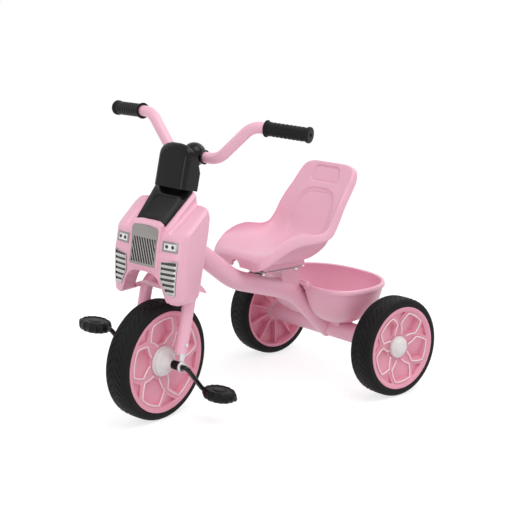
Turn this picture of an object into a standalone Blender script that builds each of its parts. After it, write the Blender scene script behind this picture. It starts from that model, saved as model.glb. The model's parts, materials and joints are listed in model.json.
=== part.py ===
# Children's tricycle with a toy car front.
# Lengths are in millimetres here and the meshes are made in metres.
# The trike faces -Y, its left side is +X and the ground is z = 0.
import bpy
import bmesh
from math import acos, cos, pi, radians, sin, tan
from mathutils import Matrix, Vector

METRE = 0.001
TOUCH_GAP = 0.3

# Wheels
FRONT_RADIUS = 125.0
REAR_RADIUS = 109.0
TYRE_WIDTH = 55.0
TYRE_DEPTH = 18.0
BEAD_DEPTH = 3.0
WHEELBASE = 485.0
REAR_TRACK = 414.0
WHEEL_SEGMENTS = 32
FRONT_HUB_SEAT = 14.5
REAR_HUB_SEAT = 9.5
HUB_RADIUS = 32.0
CAP_RADIUS = 24.0

# Steering
RAKE = 12.5
STEER_AT_REST = 12.0

# Frame. Spine points under the seat and at the rear are measured from the rear axle.
SPINE_RADIUS = 21.5
TUBE_WALL = 2.5
SPINE_FRONT = (56.0, 378.0)
SPINE_UNDER_SEAT = (-282.0, 262.0)
SPINE_REAR = [(-115.0, 102.0), (2.0, -7.0)]
SPINE_BENDS = [150.0, 130.0]
AXLE_TUBE_RADIUS = 22.3
AXLE_BUSH_FLANGE = 1.9
AXLE_ROD_RADIUS = 5.0
HEAD_TUBE_RADIUS = 18.0
HEAD_TUBE_LOW = 198.0
HEAD_TUBE_HIGH = 352.0
COLLAR_STATION = 328.0

# Fork and bars
FORK_TUBE_RADIUS = 13.0
FORK_HALF_WIDTH = 60.0
FORK_LEG_LOW = 28.0
FORK_CROWN = 178.0
FORK_BEND = 44.0
STEERER_RADIUS = 12.0
BAR_RADIUS = 11.7
BAR_STATION = 428.0
BAR_SETBACK = 12.0
BAR_COVER_RADIUS = 25.0
GRIP_START = (166.0, 127.0, 610.0)
GRIP_END = (261.0, 145.0, 606.0)
GUARD_HALF_WIDTH = 35.0
GUARD_START = -8.0
GUARD_END = 43.0

# Crank and pedals
CRANK_RADIUS = 5.0
CRANK_LENGTH = 78.0
CRANK_ANGLE = -48.0
CRANK_LEAN = 3.0
CRANK_CLEARANCE = 1.4
BRACKET_PLANE = 67.9
SCREW_STATION = 45.0
SCREW_RADIUS = 2.1
SCREW_HEAD = 2.6
PEDAL_LENGTH = 80.0
PEDAL_WIDTH = 57.0
PEDAL_THICKNESS = 22.0

# Seat and basket. The plinth is measured from the rear axle and the basket's floor from its centre.
SEAT_BASE = 273.0
SEAT_SKIN = 4.0
PLATE_THICKNESS = 3.2
PLINTH_HALF_WIDTH = 30.0
PLINTH_FRONT = -219.0
PLINTH_REAR = -117.0
BOLT_SPREAD = 22.0
BOLT_RADIUS = 2.6
BASKET_LOW = 29.0
BASKET_DEPTH = 93.0
BASKET_WALL = 3.0

# Car front
LOBE_LOW = 262.0
PANEL_LOW = (-25.0, 417.6)
PANEL_HIGH = (43.2, 478.6)
PANEL_THICKNESS = 4.0
COWL_FRONT = -54.0
COWL_LOW = 358.0

sinRake = sin(radians(RAKE))
cosRake = cos(radians(RAKE))
wheelCentre = Vector((0.0, 0.0, FRONT_RADIUS))
axleCentre = Vector((0.0, WHEELBASE, REAR_RADIUS))
steerAxis = Vector((0.0, sinRake, cosRake))
steerTurn = (Matrix.Translation(wheelCentre)
             @ Matrix.Rotation(radians(STEER_AT_REST), 4, steerAxis)
             @ Matrix.Translation(-wheelCentre))
sides = (("left", 1), ("right", -1))
solids = []


def rake(x, along, back):
    # A point given along the steering axis from the wheel centre and behind that axis.
    return Vector((x, along * sinRake + back * cosRake,
                   FRONT_RADIUS + along * cosRake - back * sinRake))


def paint(name, colour, roughness, metallic=0.0):
    material = bpy.data.materials.new(name)
    material.use_nodes = True
    shader = material.node_tree.nodes["Principled BSDF"]
    shader.inputs["Base Color"].default_value = (*colour, 1.0)
    shader.inputs["Roughness"].default_value = roughness
    shader.inputs["Metallic"].default_value = metallic
    material.diffuse_color = (*colour, 1.0)
    return material


def outward(mesh):
    # Turn every face of a closed mesh outwards.
    bmesh.ops.recalc_face_normals(mesh, faces=mesh.faces)
    if mesh.calc_volume(signed=True) < 0:
        bmesh.ops.reverse_faces(mesh, faces=mesh.faces)
    return mesh


def finish(name, mesh, material, pivot=(0.0, 0.0, 0.0), turned=False, smooth=32.0):
    # Shift the mesh so that its pivot is the object's origin, then place the object there.
    pivot = Vector(pivot)
    bmesh.ops.remove_doubles(mesh, verts=mesh.verts, dist=0.0005)
    outward(mesh)
    bmesh.ops.translate(mesh, vec=-pivot, verts=mesh.verts)
    bmesh.ops.scale(mesh, vec=(METRE, METRE, METRE), verts=mesh.verts)
    data = bpy.data.meshes.new(name)
    mesh.to_mesh(data)
    mesh.free()
    data.materials.append(material)
    data.shade_smooth()
    data.set_sharp_from_angle(angle=radians(smooth))
    body = bpy.data.objects.new(name, data)
    bpy.context.scene.collection.objects.link(body)
    place = Matrix.Translation(pivot)
    if turned:
        place = steerTurn @ place
    place.translation = place.translation * METRE
    body.matrix_world = place
    solids.append(body)
    return body


def together(*meshes):
    # One mesh holding several bodies that stand clear of each other.
    made = bmesh.new()
    for mesh in meshes:
        data = bpy.data.meshes.new("part")
        outward(mesh)
        mesh.to_mesh(data)
        mesh.free()
        made.from_mesh(data)
        bpy.data.meshes.remove(data)
    return made


def settled(mesh):
    # Merge points that a boolean left in one place.
    bmesh.ops.remove_doubles(mesh, verts=mesh.verts, dist=0.002)
    bmesh.ops.dissolve_degenerate(mesh, edges=mesh.edges, dist=0.002)
    return mesh


def workObject(mesh):
    work = bpy.data.objects.new("work", bpy.data.meshes.new("work"))
    bpy.context.scene.collection.objects.link(work)
    outward(mesh)
    mesh.to_mesh(work.data)
    mesh.free()
    return work


def cut(mesh, *cutters, join=False):
    # Boolean of one mesh with others, given and returned as bmesh.
    made = mesh
    for cutter in cutters:
        first = workObject(made)
        other = workObject(cutter)
        other.hide_render = True
        other.display_type = "WIRE"
        change = first.modifiers.new("boolean", "BOOLEAN")
        change.solver = "EXACT"
        change.operation = "UNION" if join else "DIFFERENCE"
        change.object = other
        graph = bpy.context.evaluated_depsgraph_get()
        result = bpy.data.meshes.new_from_object(first.evaluated_get(graph))
        made = bmesh.new()
        made.from_mesh(result)
        bpy.data.meshes.remove(result)
        bpy.data.objects.remove(other)
        bpy.data.objects.remove(first)
        settled(made)
    return made


def union(mesh, *others):
    return cut(mesh, *others, join=True)


def loft(rings, closed=False, capped=True):
    # Skin over rings of equal length; open ends are capped unless the rings close on themselves.
    mesh = bmesh.new()
    rows = [[mesh.verts.new(point) for point in ring] for ring in rings]
    count = len(rows[0])
    pairs = list(zip(rows, rows[1:]))
    if closed:
        pairs.append((rows[-1], rows[0]))
    for low, high in pairs:
        for i in range(count):
            k = (i + 1) % count
            mesh.faces.new((low[i], low[k], high[k], high[i]))
    if capped and not closed:
        mesh.faces.new(list(reversed(rows[0])))
        mesh.faces.new(rows[-1])
    return mesh


def circle(centre, axis, radius, segments):
    axis = Vector(axis).normalized()
    side = axis.orthogonal().normalized()
    up = axis.cross(side)
    turns = [2 * pi * k / segments for k in range(segments)]
    return [Vector(centre) + (side * cos(turn) + up * sin(turn)) * radius for turn in turns]


def turnedSolid(profile, segments, origin=(0, 0, 0), axis=(1, 0, 0), ring=False):
    # Profile of (radius, distance along the axis) turned a full circle, with flat ends or as a ring.
    axis = Vector(axis).normalized()
    rings = [circle(Vector(origin) + axis * along, axis, radius, segments) for radius, along in profile]
    return loft(rings, closed=ring)


def turnedRing(profile, segments, origin=(0, 0, 0), axis=(1, 0, 0)):
    return turnedSolid(profile, segments, origin, axis, ring=True)


def shaft(radius, low, high, segments, origin=(0, 0, 0), axis=(1, 0, 0)):
    return turnedSolid([(radius, low), (radius, high)], segments, origin, axis)


def tube(outer, inner, low, high, segments, origin=(0, 0, 0), axis=(1, 0, 0)):
    return turnedRing([(outer, low), (outer, high), (inner, high), (inner, low)], segments, origin, axis)


def roundedPath(corners, bends, steps):
    # Polyline with its inner corners replaced by arcs.
    corners = [Vector(point) for point in corners]
    path = [corners[0]]
    for i in range(1, len(corners) - 1):
        corner = corners[i]
        before = (corners[i - 1] - corner).normalized()
        after = (corners[i + 1] - corner).normalized()
        half = acos(max(-1.0, min(1.0, before.dot(after)))) / 2
        reach = bends[i - 1] / tan(half)
        centre = corner + (before + after).normalized() * (bends[i - 1] / sin(half))
        start = corner + before * reach - centre
        end = corner + after * reach - centre
        sweep = pi - 2 * half
        for step in range(steps + 1):
            t = step / steps
            blend = (start * sin((1 - t) * sweep) + end * sin(t * sweep)) / sin(sweep)
            path.append(centre + blend)
    path.append(corners[-1])
    return path


def sweepRings(path, radius, segments):
    rings = []
    turns = [2 * pi * k / segments for k in range(segments)]
    tangent = (path[1] - path[0]).normalized()
    side = tangent.orthogonal().normalized()
    for i, point in enumerate(path):
        ahead = path[min(i + 1, len(path) - 1)] - path[max(i - 1, 0)]
        ahead.normalize()
        side = (side - ahead * side.dot(ahead)).normalized()
        up = ahead.cross(side)
        rings.append([point + (side * cos(turn) + up * sin(turn)) * radius for turn in turns])
    return rings


def rod(path, radius, segments):
    return loft(sweepRings(path, radius, segments))


def pipe(path, radius, wall, segments):
    outer = sweepRings(path, radius, segments)
    inner = sweepRings(path, radius - wall, segments)
    return loft(outer + inner[::-1], closed=True)


def prism(outline, low, high):
    # Outline of points swept from one offset vector to another.
    return loft([[Vector(p) + Vector(low) for p in outline],
                 [Vector(p) + Vector(high) for p in outline]])


def block(low, high):
    outline = [(low[0], low[1], 0), (high[0], low[1], 0), (high[0], high[1], 0), (low[0], high[1], 0)]
    return prism(outline, (0, 0, low[2]), (0, 0, high[2]))


def eased(mesh, width, segments=2, angle=35.0):
    # Round the edges that are sharper than the given angle.
    bmesh.ops.recalc_face_normals(mesh, faces=mesh.faces)
    sharp = [edge for edge in mesh.edges
             if len(edge.link_faces) == 2 and edge.calc_face_angle() > radians(angle)]
    bmesh.ops.bevel(mesh, geom=sharp, offset=width, segments=segments, profile=0.5,
                    affect="EDGES", clamp_overlap=True, material=-1)
    return mesh


def between(points, at):
    # Straight-line reading of a list of (position, value) pairs.
    for (a, low), (b, high) in zip(points, points[1:]):
        if at <= b:
            break
    t = max(0.0, min(1.0, (at - a) / (b - a)))
    return low + (high - low) * t


for old in list(bpy.data.objects):
    bpy.data.objects.remove(old, do_unlink=True)

pink = paint("pink_paint", (0.83, 0.36, 0.46), 0.42)
pinkPlastic = paint("pink_plastic", (0.86, 0.38, 0.49), 0.35)
rimPink = paint("rim_pink", (0.84, 0.34, 0.45), 0.45)
tyreBlack = paint("tyre_black", (0.018, 0.018, 0.02), 0.62)
glossBlack = paint("gloss_black", (0.010, 0.010, 0.012), 0.16)
gripBlack = paint("grip_black", (0.014, 0.014, 0.015), 0.55)
rodBlack = paint("rod_black", (0.012, 0.012, 0.013), 0.3)
white = paint("white_plastic", (0.80, 0.79, 0.79), 0.3)
silver = paint("silver_trim", (0.62, 0.61, 0.58), 0.28, 0.85)
zinc = paint("zinc_steel", (0.66, 0.66, 0.67), 0.32, 1.0)
red = paint("red_plastic", (0.65, 0.03, 0.03), 0.4)

wheelHalf = TYRE_WIDTH / 2


# Tyres and rims

def tyreProfile(radius):
    bead = radius - TYRE_DEPTH + TOUCH_GAP
    right = [(radius, wheelHalf - 9), (radius - 2, wheelHalf - 3.5), (radius - 6, wheelHalf - 0.5),
             (radius - 11, wheelHalf), (bead, wheelHalf), (bead, wheelHalf - 3.8),
             (bead - BEAD_DEPTH, wheelHalf - 3.8)]
    return right + [(r, -x) for r, x in right[::-1]]


def petal(turn, side, inner, outer):
    # One six-sided pocket whose floor leans to one side, cut along the wheel axis.
    face = wheelHalf - 4
    waist = outer * 0.68
    corners = [(inner, -17), (inner, 17), (waist, 31), (outer, 17), (outer, -17), (waist, -31)]
    mouth = []
    floor = []
    for radius, angle in corners:
        a = radians(turn + angle)
        y = radius * cos(a)
        z = radius * sin(a)
        dish = (outer - radius) / (outer - inner) * 11
        lean = 1.5 + 7.5 * (31 - side * angle) / 62
        floor.append((side * (face - dish - lean), y, z))
        mouth.append((side * (face + 9), y, z))
    return loft([floor, mouth])


def rimNotch(turn, side, inner, outer):
    # Three-cornered pocket beside the rim between two petals.
    face = wheelHalf - 4
    corners = [(inner, 0), (outer, 14), (outer, -14)]
    corners = [(r * cos(radians(turn + a)), r * sin(radians(turn + a))) for r, a in corners]
    return loft([[(side * x, y, z) for y, z in corners] for x in (face - 5, face + 9)])


def pockets(side, start, inner, outer):
    made = []
    for k in range(5):
        made.append(petal(start + 72 * k, side, inner, outer))
        made.append(rimNotch(start + 36 + 72 * k, side, outer - 18, outer + 2))
    return made


def frontRim():
    edge = FRONT_RADIUS - TYRE_DEPTH
    right = [(edge - BEAD_DEPTH, wheelHalf - 3.5), (edge, wheelHalf - 3.5), (edge, wheelHalf + 0.5),
             (edge - 5, wheelHalf + 0.5), (edge - 9, wheelHalf - 3), (37, FRONT_HUB_SEAT + 1),
             (HUB_RADIUS + 1, FRONT_HUB_SEAT), (AXLE_ROD_RADIUS + 4, FRONT_HUB_SEAT)]
    disc = turnedRing(right + [(r, -x) for r, x in right[::-1]], WHEEL_SEGMENTS)
    cutters = pockets(1, -109, 40, edge - 14) + pockets(-1, -71, 40, edge - 14)
    made = cut(disc, together(*cutters))
    bmesh.ops.translate(made, vec=wheelCentre, verts=made.verts)
    return made


def rearRim(side, centre):
    edge = REAR_RADIUS - TYRE_DEPTH
    inner = wheelHalf - 3
    bore = AXLE_ROD_RADIUS + TOUCH_GAP
    profile = [(edge - BEAD_DEPTH, wheelHalf - 3.5), (edge, wheelHalf - 3.5), (edge, wheelHalf + 0.5),
               (edge - 5, wheelHalf + 0.5), (edge - 9, wheelHalf - 3), (34, wheelHalf - 14),
               (CAP_RADIUS + 2, REAR_HUB_SEAT), (bore, REAR_HUB_SEAT), (bore, -inner), (22, -inner),
               (26, 4 - inner), (40, -4), (edge - 7, -6), (edge - 5, -wheelHalf - 0.5),
               (edge, -wheelHalf - 0.5), (edge, 3.5 - wheelHalf), (edge - BEAD_DEPTH, 3.5 - wheelHalf)]
    disc = turnedRing([(r, side * x) for r, x in profile], WHEEL_SEGMENTS)
    cutters = pockets(side, -90 + side * 4, 36, edge - 13)
    for k in range(10):
        outline = []
        for r, a in ((33, -11.3), (33, 11.3), (edge - 8.4, 15.2), (edge - 8.4, -15.2)):
            turn = radians(-90 + 36 * k + 18 + a)
            outline.append((0, r * cos(turn), r * sin(turn)))
        cutters.append(prism(outline, (-side * 30, 0, 0), (-side * 1, 0, 0)))
    made = cut(disc, together(*cutters))
    bmesh.ops.translate(made, vec=centre, verts=made.verts)
    return made


wheelFace = REAR_TRACK / 2 - wheelHalf + 3 - TOUCH_GAP
tubeEnd = wheelFace - AXLE_BUSH_FLANGE - TOUCH_GAP
finish("front_tyre", turnedRing(tyreProfile(FRONT_RADIUS), WHEEL_SEGMENTS, wheelCentre), tyreBlack,
       wheelCentre, True)
finish("front_rim", frontRim(), rimPink, wheelCentre, True)

for name, side in sides:
    centre = axleCentre + Vector((side * REAR_TRACK / 2, 0, 0))
    tyre = turnedRing(tyreProfile(REAR_RADIUS), WHEEL_SEGMENTS, centre)
    finish("rear_tyre_" + name, tyre, tyreBlack, centre)
    finish("rear_rim_" + name, rearRim(side, centre), rimPink, centre)
    seatFace = REAR_HUB_SEAT + TOUCH_GAP
    dome = [(2, 27), (11, 25.8), (17, 23), (19.5, 19.5), (21.5, 19.5), (CAP_RADIUS, 17),
            (CAP_RADIUS, seatFace), (14, seatFace), (14, 17.5), (2, 24)]
    finish("rear_hub_cap_" + name, turnedSolid(dome, 18, centre, (side, 0, 0)), white, centre)
    nut = shaft(9, side * seatFace, side * (seatFace + 8), 6)
    nut = cut(nut, shaft(AXLE_ROD_RADIUS + TOUCH_GAP, -40, 40, 14))
    bmesh.ops.translate(nut, vec=centre, verts=nut.verts)
    finish("rear_axle_nut_" + name, nut, zinc, centre)

    bore = AXLE_ROD_RADIUS + TOUCH_GAP
    plug = AXLE_TUBE_RADIUS - TUBE_WALL - TOUCH_GAP
    bush = [(AXLE_TUBE_RADIUS + 0.8, tubeEnd + TOUCH_GAP), (AXLE_TUBE_RADIUS + 0.8, wheelFace),
            (bore, wheelFace), (bore, tubeEnd - 14), (plug, tubeEnd - 14),
            (plug, tubeEnd + TOUCH_GAP)]
    finish("axle_bush_" + name, turnedRing(bush, 18, axleCentre, (side, 0, 0)), gripBlack)

rodEnd = REAR_TRACK / 2 + REAR_HUB_SEAT + 11
finish("rear_axle_rod", shaft(AXLE_ROD_RADIUS, -rodEnd, rodEnd, 14, axleCentre), zinc)


# Frame

spineCorners = [(0, *SPINE_FRONT), (0, WHEELBASE + SPINE_UNDER_SEAT[0], SPINE_UNDER_SEAT[1])]
spineCorners += [axleCentre + Vector((0, y, z)) for y, z in SPINE_REAR]
spinePath = roundedPath(spineCorners, SPINE_BENDS, 5)


def axleTubeSpace():
    return shaft(AXLE_TUBE_RADIUS + TOUCH_GAP, -REAR_TRACK, REAR_TRACK, 24, axleCentre)


def headTubeSpace():
    radius = HEAD_TUBE_RADIUS + TOUCH_GAP
    return shaft(radius, HEAD_TUBE_LOW - 30, HEAD_TUBE_HIGH + 30, 24, wheelCentre, steerAxis)


def spineSpace():
    return rod(spinePath, SPINE_RADIUS + TOUCH_GAP, 16)


spine = pipe(spinePath, SPINE_RADIUS, TUBE_WALL, 16)
finish("frame_spine", cut(spine, axleTubeSpace(), headTubeSpace()), pink)

axleTube = tube(AXLE_TUBE_RADIUS, AXLE_TUBE_RADIUS - TUBE_WALL, -tubeEnd, tubeEnd, 24, axleCentre)
finish("rear_axle_tube", axleTube, pink)

headBore = HEAD_TUBE_RADIUS - TUBE_WALL
headTube = tube(HEAD_TUBE_RADIUS, headBore, HEAD_TUBE_LOW, HEAD_TUBE_HIGH, 24, wheelCentre, steerAxis)
finish("head_tube", headTube, pink)

crownTop = FORK_CROWN + FORK_TUBE_RADIUS
steererBore = STEERER_RADIUS + TOUCH_GAP
plug = headBore - TOUCH_GAP
for name, end, outer, way in (("lower", HEAD_TUBE_LOW, crownTop + TOUCH_GAP, -1),
                              ("upper", HEAD_TUBE_HIGH, HEAD_TUBE_HIGH + 4, 1)):
    inner = end - way * 16
    face = end + way * TOUCH_GAP
    bush = [(HEAD_TUBE_RADIUS, face), (HEAD_TUBE_RADIUS, outer), (steererBore, outer),
            (steererBore, inner), (plug, inner), (plug, face)]
    finish("head_bush_" + name, turnedRing(bush, 20, wheelCentre, steerAxis), gripBlack)

collarBore = HEAD_TUBE_RADIUS + TOUCH_GAP
collar = tube(26, collarBore, COLLAR_STATION, COLLAR_STATION + 5, 24, wheelCentre, steerAxis)
finish("head_tube_collar", collar, red)

plateTop = SEAT_BASE - TOUCH_GAP
plateLow = plateTop - PLATE_THICKNESS
saddleLow = REAR_RADIUS + SPINE_REAR[0][1] - 1
saddle = block((-15, WHEELBASE - 156, saddleLow), (15, WHEELBASE - 105, plateLow - TOUCH_GAP))
finish("seat_bracket", cut(saddle, spineSpace()), pink)

plinthFront = WHEELBASE + PLINTH_FRONT
plinthRear = WHEELBASE + PLINTH_REAR
boltSpots = [(x, y) for y in (plinthFront + 4, plinthRear - 4) for x in (BOLT_SPREAD, -BOLT_SPREAD)]
plate = eased(block((-28, plinthFront - 3, plateLow), (28, plinthRear + 16, plateTop)), 3.0, 1, 80)
boltBore = BOLT_RADIUS + TOUCH_GAP
holes = [shaft(boltBore, -20, 20, 10, (x, y, plateTop), (0, 0, 1)) for x, y in boltSpots]
finish("seat_plate", cut(plate, together(*holes)), zinc)

for number, (x, y) in enumerate(boltSpots):
    head = [(5, -4), (5, 0), (BOLT_RADIUS, 0), (BOLT_RADIUS, 14)]
    finish("seat_bolt_%d" % (number + 1), turnedSolid(head, 6, (x, y, plateLow - TOUCH_GAP), (0, 0, 1)), zinc)

basketFloor = REAR_RADIUS + BASKET_LOW
basketTop = basketFloor + BASKET_DEPTH
basketSeat = block((-56, WHEELBASE - 19, REAR_RADIUS + 3), (56, WHEELBASE + 23, basketFloor - TOUCH_GAP))
finish("basket_bracket", cut(basketSeat, axleTubeSpace(), spineSpace()), pink)


# Basket

def basketOutline(width, front, back, hollow, inset, height):
    # Rounded outline with a channel in its front for the frame tube.
    middle = front + (back - front) * 0.38
    points = [(0, hollow), (14, hollow), (25, hollow - 6), (29, front + 3)]
    for k in range(1, 7):
        angle = radians(-90 + 90 * k / 6)
        points.append((29 + (width - 29) * abs(cos(angle)) ** 0.55,
                       middle - (middle - front) * abs(sin(angle)) ** 0.8))
    for k in range(1, 7):
        angle = radians(90 * k / 6)
        points.append((width * cos(angle) ** 0.8, middle + (back - middle) * sin(angle) ** 0.9))
    ring = points + [(-x, y) for x, y in points[-2:0:-1]]
    made = []
    count = len(ring)
    for i, (x, y) in enumerate(ring):
        before = Vector(ring[i - 1])
        after = Vector(ring[(i + 1) % count])
        along = (after - before).normalized()
        made.append((x - along.y * inset, WHEELBASE + y + along.x * inset, height))
    return made


# Height over the floor of the bowl, half width, front, back and depth of the channel of each level.
# Front, back and channel are measured from the rear axle.
basketLevels = [
    (0.0, 80, -45, 47, -3),
    (6.0, 99, -61, 60, -7),
    (20.0, 120, -77, 73, -18),
    (42.0, 136, -91, 83, -35),
    (66.0, 146, -101, 90, -57),
    (80.0, 149, -105, 92, -75),
]
rimOutline = (154, -110, 97, -87)
outerRings = [basketOutline(w, f, b, h, 0, basketFloor + z) for z, w, f, b, h in basketLevels]
outerRings.append(basketOutline(*rimOutline, 0, basketTop - 12))
outerRings.append(basketOutline(*rimOutline, 0, basketTop - 3))
outerRings.append(basketOutline(*rimOutline, 3, basketTop))
innerRings = [basketOutline(w, f, b, h, BASKET_WALL, basketFloor + z + (BASKET_WALL if i == 0 else 0.6))
              for i, (z, w, f, b, h) in enumerate(basketLevels)]
innerRings.append(basketOutline(*basketLevels[-1][1:], BASKET_WALL, basketTop))
finish("basket", loft(outerRings + innerRings[::-1]), pinkPlastic)


# Seat

# Each station: crest (x, y, z), lip (outwards, back, down), pan middle (y, z), underside middle (y, z).
# Every y in the table is measured from the rear axle.
seatStations = [
    ((58, -278, 300), (2, -1, 5), (-278, 305), (-276, 299)),
    ((76, -273, 309), (2, -1, 8), (-275, 315), (-269, 308)),
    ((88, -259, 323), (3, -1, 16), (-266, 321), (-259, 305)),
    ((92, -241, 338), (4, 0, 22), (-249, 322), (-242, 298)),
    ((93, -223, 349), (5, 0, 26), (-229, 321), (-223, 290)),
    ((93, -197, 358), (6, 0, 26), (-201, 320), (-199, 286)),
    ((92, -170, 361), (6, 2, 25), (-173, 320), (-172, 285)),
    ((92, -145, 357), (6, 4, 21), (-145, 321), (-142, 285)),
    ((93, -123, 354), (6, 8, 17), (-119, 324), (-111, 288)),
    ((94, -101, 358), (6, 13, 14), (-95, 331), (-83, 305)),
    ((93, -85, 375), (5, 16, 10), (-77, 346), (-66, 333)),
    ((92, -69, 400), (4, 17, 7), (-61, 375), (-52, 369)),
    ((90, -54, 420), (4, 17, 5), (-45, 408), (-39, 404)),
    ((86, -35, 443), (4, 17, 5), (-33, 432), (-28, 429)),
    ((81, -22, 459), (4, 16, 5), (-22, 452), (-17, 449)),
    ((69, -10, 475), (3, 13, 3), (-14, 469), (-9, 466)),
    ((57, -5, 482), (3, 10, 3), (-9, 480), (-4, 477)),
    ((40, -3, 486), (2, 8, 2), (-6, 487), (-1, 485)),
]
seatStations = [((x, WHEELBASE + y, z), lip, (WHEELBASE + panY, panZ), (WHEELBASE + underY, underZ))
                for (x, y, z), lip, (panY, panZ), (underY, underZ) in seatStations]
seatSteps = (0.0, 0.3, 0.58, 0.82, 1.0)


def seatCurve(middle, edge, power):
    # Half of a section from the middle out to an edge point.
    points = []
    for t in seatSteps:
        rise = (1 - cos(t * pi / 2)) ** power
        points.append(Vector((edge.x * sin(t * pi / 2), middle.y + (edge.y - middle.y) * rise,
                              middle.z + (edge.z - middle.z) * rise)))
    return points


def fullRing(half):
    # Ring from its right half, whose first and last points lie in the middle plane.
    return half + [Vector((-p.x, p.y, p.z)) for p in half[-2:0:-1]]


def seatSection(station):
    crest, lip, pan, under = station
    crest = Vector(crest)
    outer = crest + Vector((lip[0], lip[1], -lip[2]))
    inner = outer - Vector((SEAT_SKIN + 1, 0, 0))
    crease = crest + Vector((-SEAT_SKIN, lip[1] * 0.8, -lip[2] * 0.8))
    upper = seatCurve(Vector((0, *pan)), crest, 1.2)
    lower = seatCurve(Vector((0, *under)), crease, 1.25)
    return fullRing(upper + [outer, inner] + lower[::-1])


def seatBody():
    # Skin through the stations, each end closed by a strip of quads between its two curves.
    rings = [seatSection(station) for station in seatStations]
    mesh = loft(rings, capped=False)
    mesh.verts.ensure_lookup_table()
    count = len(rings[0])
    steps = len(seatSteps)
    for start in (0, count * (len(rings) - 1)):
        for mirror in (1, -1):
            for k in range(steps):
                far = [k, k + 1, count // 2 - k - 1, count // 2 - k]
                mesh.faces.new([mesh.verts[start + (mirror * i) % count] for i in far])
    return mesh


def seatHollow():
    # Space between the pan and the underside, a skin's thickness inside both.
    rings = []
    for crest, lip, pan, under in seatStations[4:9]:
        edge = Vector((crest[0] - 30, crest[1] + lip[1] * 0.5, (pan[1] + crest[2] - lip[2]) / 2 - 3))
        upper = seatCurve(Vector((0, pan[0], pan[1] - SEAT_SKIN)), edge, 1.2)
        lower = seatCurve(Vector((0, under[0], under[1] + SEAT_SKIN)), edge, 0.8)
        rings.append(fullRing(upper + lower[-2::-1]))
    return loft(rings)


def archOutline(half, low, high):
    # Upright arch with a rounded top, in the plane across the trike.
    points = [(-half, 0, low)]
    for k in range(9):
        angle = pi - pi * k / 8
        points.append((half * cos(angle), 0, high - half * (1 - sin(angle))))
    points.append((half, 0, low))
    return points


wall = 8.0
plinth = block((-PLINTH_HALF_WIDTH, plinthFront, SEAT_BASE), (PLINTH_HALF_WIDTH, plinthRear, 302))
plinthVoid = block((SEAT_SKIN - PLINTH_HALF_WIDTH, plinthFront + wall, SEAT_BASE - 9),
                   (PLINTH_HALF_WIDTH - SEAT_SKIN, plinthRear - wall, 299))
archPlace = WHEELBASE - 270
archRing = prism(archOutline(18, 298, 322), (0, archPlace - 11, 0), (0, archPlace + 11, 0))
archHole = prism(archOutline(10, 270, 308), (0, archPlace - 25, 0), (0, archPlace + 21, 0))
boltHoles = [shaft(boltBore, -5, 14, 10, (x, y, SEAT_BASE), (0, 0, 1)) for x, y in boltSpots]
seat = union(seatBody(), plinth, archRing)
seat = cut(seat, union(seatHollow(), plinthVoid), archHole, together(*boltHoles))
finish("seat_shell", seat, pinkPlastic, smooth=40.0)


# Fork, steerer and mudguard

legs = [rake(-FORK_HALF_WIDTH, FORK_LEG_LOW, 0), rake(-FORK_HALF_WIDTH, FORK_CROWN, 0),
        rake(FORK_HALF_WIDTH, FORK_CROWN, 0), rake(FORK_HALF_WIDTH, FORK_LEG_LOW, 0)]
forkPath = roundedPath(legs, [FORK_BEND, FORK_BEND], 4)
screwSpot = rake(0, SCREW_STATION, 0)
screwFace = FORK_HALF_WIDTH + FORK_TUBE_RADIUS + TOUCH_GAP


def forkSpace():
    return rod(forkPath, FORK_TUBE_RADIUS + TOUCH_GAP, 12)


def screwSpace():
    return shaft(SCREW_RADIUS + TOUCH_GAP, -90, 90, 8, screwSpot)


finish("fork", cut(pipe(forkPath, FORK_TUBE_RADIUS, 2.0, 12), screwSpace()), pink, wheelCentre, True)

guardRadius = FORK_CROWN - FORK_TUBE_RADIUS - 7.5
guardEdge = GUARD_HALF_WIDTH
guardTurn = GUARD_HALF_WIDTH - 5
guardSection = [(-guardEdge, -3), (-guardTurn, 0), (0, 1), (guardTurn, 0), (guardEdge, -3),
                (guardEdge, -0.5), (guardTurn, 2.5), (0, 3.5), (-guardTurn, 2.5), (-guardEdge, -0.5)]
guardRings = []
for k in range(11):
    degrees = GUARD_START + (GUARD_END - GUARD_START) * k / 10
    angle = radians(degrees)
    flick = 13 * (max(0.0, degrees - 22) / (GUARD_END - 22)) ** 1.4
    out = Vector((0, sin(angle), cos(angle)))
    guardRings.append([wheelCentre + out * (guardRadius + flick + r) + Vector((x, 0, 0))
                       for x, r in guardSection])
pad = prism([rake(0, guardRadius + 1.5, -9), rake(0, guardRadius + 1.5, 9), rake(0, FORK_CROWN, 9),
             rake(0, FORK_CROWN, -9)], (-12, 0, 0), (12, 0, 0))
guard = union(loft(guardRings), cut(pad, forkSpace()))
finish("mudguard", guard, pinkPlastic, wheelCentre, True)

steererLow = crownTop + TOUCH_GAP
steererHigh = BAR_STATION - 16
steerer = tube(STEERER_RADIUS, STEERER_RADIUS - 2, steererLow, steererHigh, 18, wheelCentre, steerAxis)
finish("steerer_tube", steerer, pink, wheelCentre, True)


def steererSpace():
    return shaft(steererBore, HEAD_TUBE_HIGH, steererHigh + 2, 18, wheelCentre, steerAxis)


# Handlebar, cover and grips

barCentre = rake(0, BAR_STATION, BAR_SETBACK)
gripIn = Vector(GRIP_START)
gripOut = Vector(GRIP_END)
gripWay = (gripOut - gripIn).normalized()
gripLength = (gripOut - gripIn).length
barEnd = gripOut - gripWay * 3
barMiddle = barCentre + Vector((0, 3, -3))
barRight = [Vector((62, barMiddle.y, barMiddle.z)), Vector((136, 121.5, 611.3)), barEnd]
barLeft = [Vector((-p.x, p.y, p.z)) for p in barRight[::-1]]
barPath = roundedPath(barLeft + barRight, [48, 48, 48, 48], 3)
finish("handlebar", pipe(barPath, BAR_RADIUS, 2.0, 10), pink, wheelCentre, True)

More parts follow.
